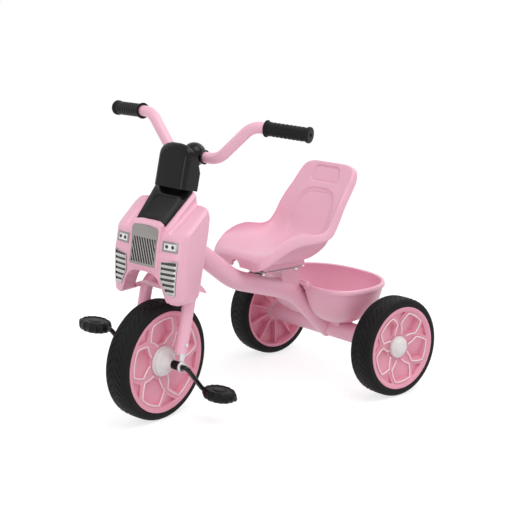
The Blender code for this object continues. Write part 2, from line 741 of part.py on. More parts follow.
for name, side in sides:
    start = Vector((side * gripIn.x, gripIn.y, gripIn.z))
    way = Vector((side * gripWay.x, gripWay.y, gripWay.z))
    bore = BAR_RADIUS + 0.9
    profile = [(bore, 0), (17, 0), (17, 3.2), (13.6, 4.2)]
    for k in range(4):
        rib = 15 + k * 18
        profile += [(13.7, rib), (14.8, rib + 3), (14.8, rib + 6), (13.7, rib + 9)]
    profile += [(13.6, gripLength - 6), (16, gripLength - 5), (16, gripLength - 1), (14, gripLength),
                (4, gripLength), (4, gripLength - 2.6), (bore, gripLength - 2.6)]
    finish("grip_" + name, turnedRing(profile, 12, start, way), gripBlack, wheelCentre, True)

ball = bmesh.new()
bmesh.ops.create_uvsphere(ball, u_segments=16, v_segments=8, radius=BAR_COVER_RADIUS)
bmesh.ops.translate(ball, vec=barCentre, verts=ball.verts)
ball = union(ball, shaft(15, -28, 28, 16, barMiddle))
barHole = shaft(BAR_RADIUS + 0.5, -50, 50, 16, barMiddle)
finish("bar_cover", cut(ball, barHole, steererSpace()), glossBlack, wheelCentre, True)


# Front hub, sleeves and axle brackets

hubFace = FRONT_HUB_SEAT + TOUCH_GAP
hubEnd = hubFace + 31
crankBore = CRANK_RADIUS + TOUCH_GAP
eyeHalf = 3.0
for name, side in sides:
    hub = [(crankBore, hubFace), (HUB_RADIUS, hubFace), (HUB_RADIUS, hubFace + 5.5), (29, hubFace + 7),
           (29, hubFace + 11), (26, hubFace + 13), (17, hubFace + 17), (12, hubFace + 23), (11, hubEnd),
           (crankBore, hubEnd)]
    finish("front_hub_" + name, turnedRing(hub, 20, wheelCentre, (side, 0, 0)), white, wheelCentre, True)
    sleeveEnd = BRACKET_PLANE - eyeHalf - TOUCH_GAP
    sleeve = tube(9, crankBore, hubEnd + TOUCH_GAP, sleeveEnd, 16, wheelCentre, (side, 0, 0))
    finish("axle_sleeve_" + name, sleeve, gripBlack, wheelCentre, True)

    eyeCentre = wheelCentre + Vector((side * BRACKET_PLANE, 0, 0))
    eye = turnedRing([(crankBore, -eyeHalf), (crankBore, eyeHalf), (9, eyeHalf), (11, eyeHalf - 1.5),
                      (11, 1.5 - eyeHalf), (9, -eyeHalf)], 18, eyeCentre)
    tongue = [rake(0, along, back) for along, back in
              ((9.3, 6.2), (20, 7.8), (50, 7.8), (50, -7.8), (20, -7.8), (9.3, -6.2))]
    strap = prism(tongue, (side * (BRACKET_PLANE - 2.9), 0, 0), (side * (BRACKET_PLANE - 0.9), 0, 0))
    bracket = cut(union(eye, strap), screwSpace())
    finish("axle_bracket_" + name, bracket, zinc, wheelCentre, True)
    screw = turnedSolid([(SCREW_RADIUS, screwFace - 14), (SCREW_RADIUS, screwFace), (4.2, screwFace),
                         (3.8, screwFace + SCREW_HEAD - 0.8), (1.8, screwFace + SCREW_HEAD)], 12,
                        screwSpot, (side, 0, 0))
    finish("bracket_screw_" + name, screw, zinc, wheelCentre, True)

# Crank and pedals

turn = radians(CRANK_ANGLE)
arm = Vector((0, cos(turn), sin(turn))) * CRANK_LENGTH
crankRoot = (screwFace + SCREW_HEAD + CRANK_CLEARANCE + CRANK_RADIUS
             + CRANK_LEAN * SCREW_STATION / CRANK_LENGTH)
crankPlane = crankRoot - CRANK_LEAN
pedalFace = crankPlane + CRANK_RADIUS + 2 * TOUCH_GAP
spindleEnd = pedalFace + PEDAL_LENGTH + 4
crankCorners = []
for way in (-1, 1):
    reach = arm * way
    half = [reach + Vector((way * spindleEnd, 0, 0)), reach + Vector((way * crankPlane, 0, 0)),
            Vector((way * crankRoot, 0, 0))]
    crankCorners += [wheelCentre + p for p in (half if way < 0 else half[::-1])]
pedalBend = CRANK_RADIUS + 1
crankPath = roundedPath(crankCorners, [pedalBend, 7.5, 7.5, pedalBend], 3)
finish("crank", rod(crankPath, CRANK_RADIUS, 8), rodBlack, wheelCentre, True)

for name, side in sides:
    centre = wheelCentre + arm * side + Vector((side * (pedalFace + PEDAL_LENGTH / 2), 0, 0))
    outline = []
    for k in range(28):
        a = 2 * pi * k / 28
        grow = 1.0 if k % 2 else 0.93
        outline.append((PEDAL_LENGTH / 2 * cos(a) * grow, PEDAL_WIDTH / 2 * sin(a) * grow, 0))
    body = prism(outline, (0, 0, -PEDAL_THICKNESS / 2), (0, 0, PEDAL_THICKNESS / 2))
    body = cut(body, shaft(CRANK_RADIUS + TOUCH_GAP, -60, 60, 14))
    bmesh.ops.translate(body, vec=centre, verts=body.verts)
    finish("pedal_" + name, body, gripBlack, centre, True)


# Car front

# Each rib: x, then y at the bottom, bumper, step and brow, then y and z of the top rear corner.
carRibs = [
    (0, -41, -44, -41, -34, 48, 456),
    (48, -40, -43, -40, -33, 50, 456),
    (78, -36, -39, -36, -28, 53, 454),
    (91, -28, -31, -28, -21, 50, 449),
    (96, -20, -22, -20, -14, 46, 443),
]
ribHeights = (LOBE_LOW, 300, 358, 363, 402)


def ribFront(rib):
    x, low, bumper, step, brow, back, crown = rib
    return (low, bumper, bumper + 1.5, step + 0.5, brow)


def faceY(x, z):
    # Y of the front face at a given place.
    heights = [(rib[0], between(list(zip(ribHeights, ribFront(rib))), z)) for rib in carRibs]
    return between(heights, abs(x))


def bothSides(rings):
    return [[(-x, y, z) for x, y, z in ring] for ring in rings[:0:-1]] + rings


def carBody():
    rings = []
    for rib in carRibs:
        x, back, crown = rib[0], rib[5], rib[6]
        ring = [(x, y, z) for y, z in zip(ribFront(rib), ribHeights)]
        ring += [(x, back - 8, crown), (x, back, crown - 9), (x, back - 4, 400), (x, 17, LOBE_LOW)]
        rings.append(ring)
    return loft(bothSides(rings))


def carHollow():
    rings = []
    for rib in carRibs:
        x, back, crown = rib[0], rib[5], rib[6]
        x = between([(48, 48), (96, 91.5)], x)
        front = [y + 5 for y in ribFront(rib)]
        heights = (LOBE_LOW + 4, 300, 358, 363, 399)
        ring = [(x, y, z) for y, z in zip(front, heights)]
        ring += [(x, back - 10, crown - 4.5), (x, back + 2, crown - 17), (x, 75, crown - 40), (x, 75, 250),
                 (x, 12, 250), (x, 12, LOBE_LOW + 4)]
        rings.append(ring)
    return loft(bothSides(rings))


panelSlope = Vector((0, PANEL_HIGH[0] - PANEL_LOW[0], PANEL_HIGH[1] - PANEL_LOW[1]))
panelLength = panelSlope.length
panelSlope.normalize()
panelNormal = Vector((0, -panelSlope.z, panelSlope.y))


def panelPoint(x, along, lift):
    return Vector((x, *PANEL_LOW)) + panelSlope * along + panelNormal * lift


def bonnet(start, end, inset, lift):
    # Raised middle of the hood, wider towards the back.
    rings = []
    for along in (start, end):
        top = panelPoint(0, along, lift)
        half = 44 + 8 * along / panelLength - inset
        foot = half + 9
        edge = ((-foot, -27), (-foot, -12), (-half, 0), (half, 0), (foot, -12), (foot, -27))
        rings.append([(x, top.y, top.z + drop) for x, drop in edge])
    return loft(rings)


def panelOutline(grow):
    half = 40 + grow
    wide = 50 + grow
    points = [(half * t, 11 * (1 - t * t) - grow) for t in (-1, -0.6, -0.2, 0.2, 0.6, 1)]
    return points + [(wide, panelLength + grow), (-wide, panelLength + grow)]


def panelPrism(outline, low, high):
    return loft([[panelPoint(x, along, lift) for x, along in outline] for lift in (low, high)])


noseLine = [(330, -47.5), (376, -41.5), (413, -36.8), (419, -32), (424, -18)]
nose = prism([(0, y, z) for z, y in noseLine] + [(0, -18, 330)], (-38.5, 0, 0), (38.5, 0, 0))


def grillePlate(low, high, half, front, back, ribs=0):
    # Slab that follows the nose, with upright ribs when asked for.
    rings = []
    for z in (low, 376, high) if low < 376 < high else (low, high):
        y = between(noseLine[:3], z)
        if not ribs:
            edge = [(-half, y - front), (half, y - front)]
        else:
            edge = []
            pitch = 2 * half / ribs
            for k in range(ribs):
                x = k * pitch - half
                edge += [(x, y - front), (x + pitch * 0.55, y - front), (x + pitch * 0.6, y + 0.4),
                         (x + pitch * 0.95, y + 0.4)]
            edge[-1] = (half, y + 0.4)
        rings.append([(x, ey, z) for x, ey in edge + [(half, y + back), (-half, y + back)]])
    return loft(rings)


def headerPlate(grow, front, back):
    # Top of the grille with an arched upper edge.
    half = 34 + grow
    shoulder = 30 + grow
    outline = [(-half, 389), (half, 389), (half, 405), (shoulder, 409.5 + grow), (12, 412 + grow),
               (-12, 412 + grow), (-shoulder, 409.5 + grow), (-half, 405)]
    face = [(x, between(noseLine[:3], z), z) for x, z in outline]
    return loft([[(x, y + depth, z) for x, y, z in face] for depth in (-front, back)])


def trimPlate(side, levels, grow, front, back):
    # Plate that follows the front face between a left and a right edge given by height.
    rings = []
    last = len(levels) - 1
    for i, (z, inner, outer, lift) in enumerate(levels):
        z += -grow if i == 0 else grow if i == last else 0
        inner -= grow
        outer += grow
        rings.append([(side * x, faceY(x, z) - (front + lift if k < 2 else -back), z)
                      for k, x in enumerate((inner, outer, outer, inner))])
    return loft(rings)


lampLevels = [(370, 45.5, 82, 0.0), (389.8, 45.5, 80.5, 0.0)]
ventLevels = []
for k in range(25):
    z = 283.5 + (348 - 283.5) * k / 24
    inner = between([(282, 63.4), (315, 46), (349, 47.5)], z)
    ventLevels.append((z, inner, 82.3, (0.0, 1.8, 1.8, 0.0)[k % 4]))
flatLevels = [(z, inner, outer, 0.0) for z, inner, outer, lift in ventLevels[::3]]

bodySolid = eased(carBody(), 3.2, 2, 40)
shell = union(bodySolid, eased(bonnet(-6, panelLength + 4, 0, -PANEL_THICKNESS - TOUCH_GAP), 2.5, 1, 40),
              eased(nose, 3.0, 1, 40))

archHalf = [(0, 324), (28, 321), (43, 310), (53, 292), (60, 276), (64, 240)]


def wheelArch(grow, back):
    half = [(x + (grow if x else 0), 0, z + grow) for x, z in archHalf]
    outline = half + [(-x, y, z) for x, y, z in half[:0:-1]]
    return prism(outline, (0, -80, 0), (0, back, 0))


shell = cut(shell, cut(carHollow(), wheelArch(3, 14)),
            bonnet(6, panelLength + 30, 4, -PANEL_THICKNESS - 4), wheelArch(0, 90),
            panelPrism(panelOutline(0.4), -PANEL_THICKNESS - TOUCH_GAP, 20))
gap = 0.4
grilleSpace = union(grillePlate(334, 391, 34 + gap, 12, 3.4), headerPlate(gap, 12, 3.4))
trimSpaces = [grilleSpace]
for name, side in sides:
    trimSpaces.append(trimPlate(side, lampLevels, gap, 12, 2.4))
    trimSpaces.append(trimPlate(side, flatLevels, gap, 12, 2.4))
shell = cut(shell, together(*trimSpaces))
bosses = [block((min(side * 62, side * 71), -32, 266.5), (max(side * 62, side * 71), 34, 279))
          for name, side in sides]
shell = union(shell, cut(together(*bosses), forkSpace(), block((-90, 19, 240), (90, 60, 300))))
finish("car_front", shell, pinkPlastic, wheelCentre, True)

panel = panelPrism(panelOutline(0), -PANEL_THICKNESS, 0)
well = [(-28, 22), (28, 22), (33, 62), (27, 69), (-27, 69), (-33, 62)]
panel = cut(eased(panel, 1.0, 1, 60), panelPrism(well, -2, 5))
finish("hood_panel", panel, glossBlack, wheelCentre, True)

grille = union(grillePlate(338.5, 389.5, 33, 1.2, 3.0, 11), grillePlate(334.4, 339.5, 34, 1.4, 3.0),
               headerPlate(0, 1.0, 3.0))
finish("grille", grille, silver, wheelCentre, True)

for name, side in sides:
    lamp = trimPlate(side, lampLevels, 0, 0.8, 2.0)
    lenses = []
    for x in (56, 71):
        y = faceY(x, 380)
        lenses.append(shaft(4.2, -1.8, 1.0, 10, (side * x, y, 380), (0, 1, 0)))
    finish("headlight_" + name, union(lamp, together(*lenses)), silver, wheelCentre, True)
    finish("vent_" + name, trimPlate(side, ventLevels, 0, 0.0, 2.0), silver, wheelCentre, True)


# Cowl in front of the handlebar

def rakePrism(outline, low, high):
    # Outline across the steering axis, swept along the direction behind that axis.
    return loft([[rake(x, along, back) for x, along in outline] for back in (low, high)])


def cowlOutline(inset, low):
    right = [(41, low), (41, 425), (38, 434), (28, 442), (14, 446)]
    right = [(x - inset, along - (inset if i else 0)) for i, (x, along) in enumerate(right)]
    return right + [(-x, along) for x, along in right[::-1]]


cowlOuter = eased(rakePrism(cowlOutline(0, COWL_LOW - 20), COWL_FRONT, 12), 5.0, 2, 60)
cowlInner = rakePrism(cowlOutline(3, COWL_LOW - 30), COWL_FRONT + 3, 20)
below = rakePrism([(-60, COWL_LOW - 40), (60, COWL_LOW - 40), (60, COWL_LOW), (-60, COWL_LOW)], -80, 60)
backLine = [(350, -8), (392, -8), (418, -21), (450, -49), (480, -49), (480, 60), (350, 60)]
behind = loft([[rake(x, along, back) for along, back in backLine] for x in (-60, 60)])
cowl = cut(cowlOuter, cowlInner, below, behind)
stay = rakePrism([(-10, 385), (10, 385), (10, 405), (-10, 405)], COWL_FRONT + 1.5, -6)
cowl = union(cowl, cut(stay, steererSpace()))
finish("cowl", cowl, glossBlack, wheelCentre, True)

# Put the middle of the footprint on the origin.
bpy.context.view_layer.update()
corners = [body.matrix_world @ vertex.co for body in solids for vertex in body.data.vertices]
low = Vector([min(p[i] for p in corners) for i in range(3)])
high = Vector([max(p[i] for p in corners) for i in range(3)])
shift = -Vector(((low.x + high.x) / 2, (low.y + high.y) / 2, low.z))
for body in solids:
    body.location = body.location + shift
bpy.context.view_layer.update()
print("solids", len(solids), "shift", [round(value, 5) for value in shift],
      "size", [round(value, 4) for value in high - low])
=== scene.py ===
import bpy
import bmesh
import json
from math import acos, atan2, cos, exp, hypot, pi, radians, sin, sqrt, tan
from mathutils import Matrix, Vector


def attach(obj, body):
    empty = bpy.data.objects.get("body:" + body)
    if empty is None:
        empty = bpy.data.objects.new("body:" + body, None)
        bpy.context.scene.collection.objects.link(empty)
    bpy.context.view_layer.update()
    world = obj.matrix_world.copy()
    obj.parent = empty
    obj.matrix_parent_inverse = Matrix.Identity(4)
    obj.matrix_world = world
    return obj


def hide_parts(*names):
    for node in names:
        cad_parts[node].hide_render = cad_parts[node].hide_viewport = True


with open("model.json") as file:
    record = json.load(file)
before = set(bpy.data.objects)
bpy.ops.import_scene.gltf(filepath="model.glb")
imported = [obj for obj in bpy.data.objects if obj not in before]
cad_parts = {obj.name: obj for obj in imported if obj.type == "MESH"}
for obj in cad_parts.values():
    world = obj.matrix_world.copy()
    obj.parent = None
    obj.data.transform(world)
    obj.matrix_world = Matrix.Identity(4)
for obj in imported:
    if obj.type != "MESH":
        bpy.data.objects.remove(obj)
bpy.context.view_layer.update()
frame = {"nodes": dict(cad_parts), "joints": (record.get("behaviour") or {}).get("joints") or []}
print("frame loaded,", len(frame["nodes"]), "solids")

# Pieces are drawn in millimetres: wheel centre over the origin, ground at z = 0,
# front towards -Y, left side +X. Angles are in degrees.
setup = {"frontRadius": 125.0, "rearRadius": 109.0, "wheelbase": 485.0, "rearTrack": 414.0, "rake": 12.5,
         "turned": 12.0}
wheelPlace = next(joint["pos_m"] for joint in frame["joints"] if joint["name"] == "front_wheel_spin")
shift = Vector(wheelPlace) - Vector((0, 0, setup["frontRadius"] / 1000))
wheelCentre = Vector((0, 0, setup["frontRadius"]))
axleCentre = Vector((0, setup["wheelbase"], setup["rearRadius"]))
sinRake = sin(radians(setup["rake"]))
cosRake = cos(radians(setup["rake"]))
steerAxis = Vector((0, sinRake, cosRake))
toWorld = Matrix.Translation(shift) @ Matrix.Scale(0.001, 4)
toSteered = (toWorld @ Matrix.Translation(wheelCentre)
             @ Matrix.Rotation(radians(setup["turned"]), 4, steerAxis) @ Matrix.Translation(-wheelCentre))
sides = (("left", 1), ("right", -1))


def rake(x, along, back):
    # a point measured along the steering axis and behind it
    return wheelCentre + Vector((x, along * sinRake + back * cosRake, along * cosRake - back * sinRake))


# helpers

def addObject(name, data):
    item = bpy.data.objects.new(name, data)
    bpy.context.scene.collection.objects.link(item)
    return item


def aimed(item, place, way):
    # places a lamp or the camera and turns it to look along a direction
    item.location = place
    item.rotation_mode = "QUATERNION"
    item.rotation_quaternion = way.to_track_quat("-Z", "Y")


def makePiece(name, bm, finish, body, replaced="", smooth=35.0):
    # what turns with the fork is drawn straight ahead, then turned as in the photograph
    bmesh.ops.remove_doubles(bm, verts=bm.verts, dist=0.004)
    bmesh.ops.recalc_face_normals(bm, faces=bm.faces)
    bm.transform(toWorld if body == "frame" or body.startswith("rear_wheel") else toSteered)
    mesh = bpy.data.meshes.new(name)
    bm.to_mesh(mesh)
    bm.free()
    mesh.shade_smooth()
    mesh.set_sharp_from_angle(angle=radians(smooth))
    mesh.materials.append(finishes[finish])
    piece = addObject(name, mesh)
    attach(piece, body)
    if replaced:
        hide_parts(replaced)


def mirrored(points):
    return [Vector((-p.x, p.y, p.z)) for p in points]


def softCorners(points, radius, steps=4, closed=True):
    # rounds the corners of a flat outline
    made = []
    count = len(points)
    for i, point in enumerate(points):
        here = Vector(point)
        if not closed and i in (0, count - 1):
            made.append(here)
            continue
        before = Vector(points[i - 1]) - here
        after = Vector(points[(i + 1) % count]) - here
        reach = min(radius, before.length * 0.49, after.length * 0.49)
        start = here + before.normalized() * reach
        end = here + after.normalized() * reach
        for k in range(steps + 1):
            t = k / steps
            made.append(start * (1 - t) ** 2 + here * 2 * t * (1 - t) + end * t ** 2)
    return made


def settled(bm):
    # spin and extrude number their faces differently in every run, so they are numbered again
    made = bmesh.new()
    bm.verts.index_update()
    verts = [made.verts.new(vert.co) for vert in bm.verts]
    for row in sorted([vert.index for vert in face.verts] for face in bm.faces):
        made.faces.new([verts[i] for i in row])
    bm.free()
    bmesh.ops.recalc_face_normals(made, faces=made.faces)
    return made


def lathe(profile, steps, centre=(0, 0, 0), axis=(1, 0, 0)):
    # spins a closed profile of (radius, distance along the axis)
    bm = bmesh.new()
    axis = Vector(axis).normalized()
    side = axis.orthogonal().normalized()
    verts = [bm.verts.new(Vector(centre) + axis * p[1] + side * p[0]) for p in profile]
    edges = [bm.edges.new(pair) for pair in zip(verts, verts[1:] + verts[:1])]
    bmesh.ops.spin(bm, geom=verts + edges, cent=centre, axis=axis, angle=2 * pi, steps=steps, use_merge=True)
    bmesh.ops.remove_doubles(bm, verts=bm.verts, dist=0.002)
    return settled(bm)


def rod(radius, low, high, steps, centre=(0, 0, 0), axis=(1, 0, 0)):
    return lathe([(0, low), (radius, low), (radius, high), (0, high)], steps, centre, axis)


def smoothPath(corners, bends, steps=8):
    # polyline whose inner corners become arcs
    corners = [Vector(point) for point in corners]
    path = [corners[0]]
    for i in range(1, len(corners) - 1):
        corner = corners[i]
        before = (corners[i - 1] - corner).normalized()
        after = (corners[i + 1] - corner).normalized()
        half = acos(max(-1.0, min(1.0, before.dot(after)))) / 2
        reach = bends[i - 1] / tan(half)
        centre = corner + (before + after).normalized() * (bends[i - 1] / sin(half))
        start = corner + before * reach - centre
        end = corner + after * reach - centre
        sweep = pi - 2 * half
        for step in range(steps + 1):
            t = step / steps
            path.append(centre + (start * sin((1 - t) * sweep) + end * sin(t * sweep)) / sin(sweep))
    path.append(corners[-1])
    return path


def tube(path, radius, segments=40, wall=0.0, radii=None):
    # circles along a path, bridged one to the next, with a bore where it has a wall
    bm = bmesh.new()
    path = [Vector(p) for p in path]
    tangents = [(b - a).normalized() for a, b in zip(path[:1] + path, path[1:] + path[-1:])]
    ends = []
    for inset in ((0.0, wall) if wall else (0.0,)):
        side = tangents[0].orthogonal().normalized()
        rings = []
        for i, point in enumerate(path):
            side = (side - tangents[i] * side.dot(tangents[i])).normalized()
            turn = Matrix((side, tangents[i].cross(side), tangents[i])).transposed().to_4x4()
            size = (radii[i] if radii else radius) - inset
            ring = bmesh.ops.create_circle(bm, cap_ends=False, radius=size, segments=segments,
                                           matrix=Matrix.Translation(point) @ turn)["verts"]
            rings.append(list(dict.fromkeys(edge for vert in ring for edge in vert.link_edges)))
        for first, second in zip(rings, rings[1:]):
            bmesh.ops.bridge_loops(bm, edges=first + second)
        ends.append((rings[0], rings[-1]))
    if wall:
        for outer, inner in zip(*ends):
            bmesh.ops.bridge_loops(bm, edges=outer + inner)
    else:
        for ring in ends[0]:
            bmesh.ops.contextual_create(bm, geom=ring)
    return bm


def shapedGrid(across, along, place, roundWay=False):
    # grid whose points are moved by place(u, v), u and v from 0 to 1
    bm = bmesh.new()
    bmesh.ops.create_grid(bm, x_segments=across, y_segments=along, size=1.0)
    for vert in bm.verts:
        vert.co = place((vert.co.x + 1) / 2, (vert.co.y + 1) / 2)
    bmesh.ops.remove_doubles(bm, verts=bm.verts, dist=0.002)
    if roundWay:
        rims = [edge for edge in bm.edges if edge.is_boundary]
        bmesh.ops.holes_fill(bm, edges=rims, sides=0)
    bmesh.ops.recalc_face_normals(bm, faces=bm.faces)
    return bm


def raised(outline, low, high):
    # flat outline made solid between two offsets
    bm = bmesh.new()
    face = bm.faces.new([bm.verts.new(Vector(p) + Vector(low)) for p in outline])
    top = bmesh.ops.extrude_face_region(bm, geom=[face], use_keep_orig=True)["geom"]
    moved = [item for item in top if isinstance(item, bmesh.types.BMVert)]
    bmesh.ops.translate(bm, vec=Vector(high) - Vector(low), verts=moved)
    return settled(bm)


def box(low, high):
    return raised([(low[0], low[1], 0), (high[0], low[1], 0), (high[0], high[1], 0), (low[0], high[1], 0)],
                  (0, 0, low[2]), (0, 0, high[2]))


def skinned(rings):
    # closed skin over equal rings, with flat ends
    bm = bmesh.new()
    loops = []
    for ring in rings:
        verts = [bm.verts.new(point) for point in ring]
        loops.append([bm.edges.new((a, b)) for a, b in zip(verts, verts[1:] + verts[:1])])
    for first, second in zip(loops, loops[1:]):
        bmesh.ops.bridge_loops(bm, edges=first + second)
    bmesh.ops.holes_fill(bm, edges=loops[0] + loops[-1], sides=0)
    bmesh.ops.recalc_face_normals(bm, faces=bm.faces)
    return bm


def joined(*parts):
    made = bmesh.new()
    for part in parts:
        mesh = bpy.data.meshes.new("part")
        part.to_mesh(mesh)
        part.free()
        made.from_mesh(mesh)
        bpy.data.meshes.remove(mesh)
    return made


def carved(bm, *others, how="DIFFERENCE"):
    made = bm
    for other in others:
        pair = []
        for work in (made, other):
            bmesh.ops.recalc_face_normals(work, faces=work.faces)
            mesh = bpy.data.meshes.new("work")
            work.to_mesh(mesh)
            work.free()
            pair.append(addObject("work", mesh))
        change = pair[0].modifiers.new("carve", "BOOLEAN")
        change.solver = "EXACT"
        change.operation = how
        change.object = pair[1]
        result = bpy.data.meshes.new_from_object(pair[0].evaluated_get(bpy.context.evaluated_depsgraph_get()))
        made = bmesh.new()
        made.from_mesh(result)
        bpy.data.meshes.remove(result)
        for work in pair:
            bpy.data.objects.remove(work)
        bmesh.ops.remove_doubles(made, verts=made.verts, dist=0.003)
        bmesh.ops.dissolve_degenerate(made, edges=made.edges, dist=0.003)
    return made


def fused(bm, *others):
    return carved(bm, *others, how="UNION")


def rounded(bm, width, segments=3, angle=30.0):
    edges = [edge for edge in bm.edges
             if len(edge.link_faces) == 2 and edge.calc_face_angle() > radians(angle)]
    bmesh.ops.bevel(bm, geom=edges, offset=width, segments=segments, profile=0.5, affect="EDGES",
                    clamp_overlap=True, material=-1)
    return bm


def curveThrough(keys, t):
    # smooth reading of a table of rows at a fractional index
    t = max(0.0, min(len(keys) - 1.0001, t))
    i = int(t)
    f = t - i
    p = [keys[max(0, min(len(keys) - 1, i + k))] for k in (-1, 0, 1, 2)]
    return [0.5 * (2 * b + (c - a) * f + (2 * a - 5 * b + 4 * c - d) * f * f
                   + (3 * b - a - 3 * c + d) * f ** 3) for a, b, c, d in zip(*p)]


def rowAt(table, at):
    # the same for a place given in the first column
    i = max(k for k in range(len(table) - 1) if table[k][0] <= at)
    return curveThrough(table, i + (at - table[i][0]) / (table[i + 1][0] - table[i][0]))


def between(points, at):
    # straight reading of a list of (place, value)
    for (a, low), (b, high) in zip(points, points[1:]):
        if at <= b:
            break
    t = max(0.0, min(1.0, (at - a) / (b - a)))
    return low + (high - low) * t


def ease(t):
    t = max(0.0, min(1.0, t))
    return t * t * (3 - 2 * t)


# materials

def addNode(tree, kind, values=None):
    node = tree.nodes.new("ShaderNode" + kind)
    for socket, value in (values or {}).items():
        node.inputs[socket].default_value = value
    return node


def wire(tree, source, output, target, socket):
    tree.links.new(source.outputs[output], target.inputs[socket])


def rampBetween(tree, first, second):
    ramp = addNode(tree, "ValToRGB")
    ramp.color_ramp.elements[0].color = (*first, 1)
    ramp.color_ramp.elements[1].color = (*second, 1)
    return ramp


def surface(name, look):
    # one shader with mottled colour, uneven gloss and a fine bump
    material = bpy.data.materials.new(name)
    material.use_nodes = True
    tree = material.node_tree
    shader = tree.nodes["Principled BSDF"]
    place = addNode(tree, "TexCoord")
    base = look["colour"]
    spread = look.get("spread", 0.03)
    uneven = look.get("uneven", 0.05)
    tone = rampBetween(tree, [c * (1 - spread) for c in base], [min(1.0, c * (1 + spread)) for c in base])
    tone.color_ramp.elements[0].position = 0.32
    tone.color_ramp.elements[1].position = 0.68
    gloss = addNode(tree, "MapRange", {"To Min": look["rough"] - uneven, "To Max": look["rough"] + uneven})
    grain = addNode(tree, "Bump", {"Strength": look.get("bump", 0.12), "Distance": look.get("depth", 0.0004)})
    wave = addNode(tree, "Bump", {"Strength": look.get("wave", 0.1), "Distance": 0.001})
    for target, socket, scale, detail, rough in (
            (tone, "Fac", look.get("mottle", 14.0), 4.0, 0.55), (gloss, "Value", 38.0, 6.0, 0.65),
            (grain, "Height", look.get("grain", 900.0), 3.0, 0.5), (wave, "Height", 60.0, 2.0, 0.4)):
        noise = addNode(tree, "TexNoise", {"Scale": scale, "Detail": detail, "Roughness": rough})
        wire(tree, place, "Object", noise, "Vector")
        wire(tree, noise, "Fac", target, socket)
    wire(tree, tone, "Color", shader, "Base Color")
    wire(tree, gloss, "Result", shader, "Roughness")
    wire(tree, grain, "Normal", wave, "Normal")
    wire(tree, wave, "Normal", shader, "Normal")
    uniform = {"Metallic": look.get("metal", 0.0), "Coat Weight": look.get("coat", 0.0),
               "Coat Roughness": look.get("coatRough", 0.08), "Subsurface Weight": look.get("soft", 0.0),
               "Subsurface Scale": 0.003, "Specular IOR Level": look.get("specular", 0.5)}
    for socket, value in uniform.items():
        shader.inputs[socket].default_value = value
    material.diffuse_color = (*base, 1)
    return material


looks = {
    "tubePaint": {"slot": "pink_paint", "colour": (0.92, 0.50, 0.63), "rough": 0.36, "coat": 0.3,
                  "coatRough": 0.25, "grain": 420.0, "bump": 0.015, "wave": 0.03, "spread": 0.02},
    "shellPlastic": {"slot": "pink_plastic", "colour": (0.87, 0.465, 0.59), "rough": 0.38, "coat": 0.25,
                     "coatRough": 0.32, "spread": 0.02, "soft": 0.12, "grain": 1500.0, "bump": 0.08,
                     "wave": 0.05},
    "rimPlastic": {"slot": "rim_pink", "colour": (0.84, 0.36, 0.47), "rough": 0.42, "soft": 0.1,
                   "grain": 1400.0, "bump": 0.1},
    # the pale pink-white of the petal beads is a painted highlight: the beads are the rim's pink plastic,
    # coloured as the light their rounded edges catch
    "ridgePaintedHighlight": {"slot": "rim_pink", "colour": (0.93, 0.76, 0.80), "rough": 0.36, "soft": 0.1},
    "foamTyre": {"slot": "tyre_black", "colour": (0.008, 0.008, 0.009), "rough": 0.58, "uneven": 0.08,
                 "specular": 0.14, "spread": 0.25, "grain": 1800.0, "bump": 0.35, "depth": 0.0005,
                 "mottle": 30.0},
    "glossBlack": {"slot": "gloss_black", "colour": (0.006, 0.006, 0.007), "rough": 0.16, "uneven": 0.04,
                   "coat": 0.12, "coatRough": 0.05, "specular": 0.16, "bump": 0.02, "wave": 0.03,
                   "spread": 0.2},
    "satinBlack": {"slot": "grip_black", "colour": (0.008, 0.008, 0.009), "rough": 0.45, "uneven": 0.08,
                   "specular": 0.16, "spread": 0.2, "bump": 0.2},
    "rodBlack": {"slot": "rod_black", "colour": (0.008, 0.008, 0.009), "rough": 0.25, "coat": 0.1,
                 "specular": 0.25, "spread": 0.15},
    "hubWhite": {"slot": "white_plastic", "colour": (0.80, 0.78, 0.78), "rough": 0.33, "spread": 0.02,
                 "soft": 0.15},
    "trimSilver": {"slot": "silver_trim", "colour": (0.31, 0.295, 0.285), "rough": 0.3, "metal": 0.85,
                   "spread": 0.06, "uneven": 0.08},
    "ventChrome": {"slot": "silver_trim", "colour": (0.50, 0.49, 0.48), "rough": 0.2, "metal": 1.0,
                   "spread": 0.05, "uneven": 0.06},
    "trimDark": {"slot": "silver_trim", "colour": (0.05, 0.048, 0.046), "rough": 0.45, "metal": 0.3,
                 "spread": 0.1},
    "lensClear": {"slot": "silver_trim", "colour": (0.93, 0.93, 0.94), "rough": 0.15, "coat": 0.5},
    "zincSteel": {"slot": "zinc_steel", "colour": (0.66, 0.66, 0.66), "rough": 0.3, "metal": 1.0,
                  "uneven": 0.1, "spread": 0.08, "mottle": 90.0},
    "redPlastic": {"slot": "red_plastic", "colour": (0.62, 0.03, 0.03), "rough": 0.4, "spread": 0.05},
}
finishes = {name: surface(name, look) for name, look in looks.items()}
print("finishes made:", len(finishes))


# camera, floor and light

view = {"azimuth": 50.22, "elevation": 12.47, "lens": 83.009, "place": (1921.68, -1333.78, 858.11)}
azimuth = radians(view["azimuth"])
elevation = radians(view["elevation"])
forwards = Vector((-sin(azimuth) * cos(elevation), cos(azimuth) * cos(elevation), -sin(elevation)))
camera = addObject("camera", bpy.data.cameras.new("camera"))
aimed(camera, toWorld @ Vector(view["place"]), forwards)
camera.data.lens = view["lens"]
camera.data.sensor_width = 36.0
camera.data.clip_end = 50.0
bpy.context.scene.camera = camera
bpy.context.scene.view_settings.view_transform = "Standard"

studio = {"floorSize": 14.0, "floorGlow": 0.74, "skyLight": 0.58}


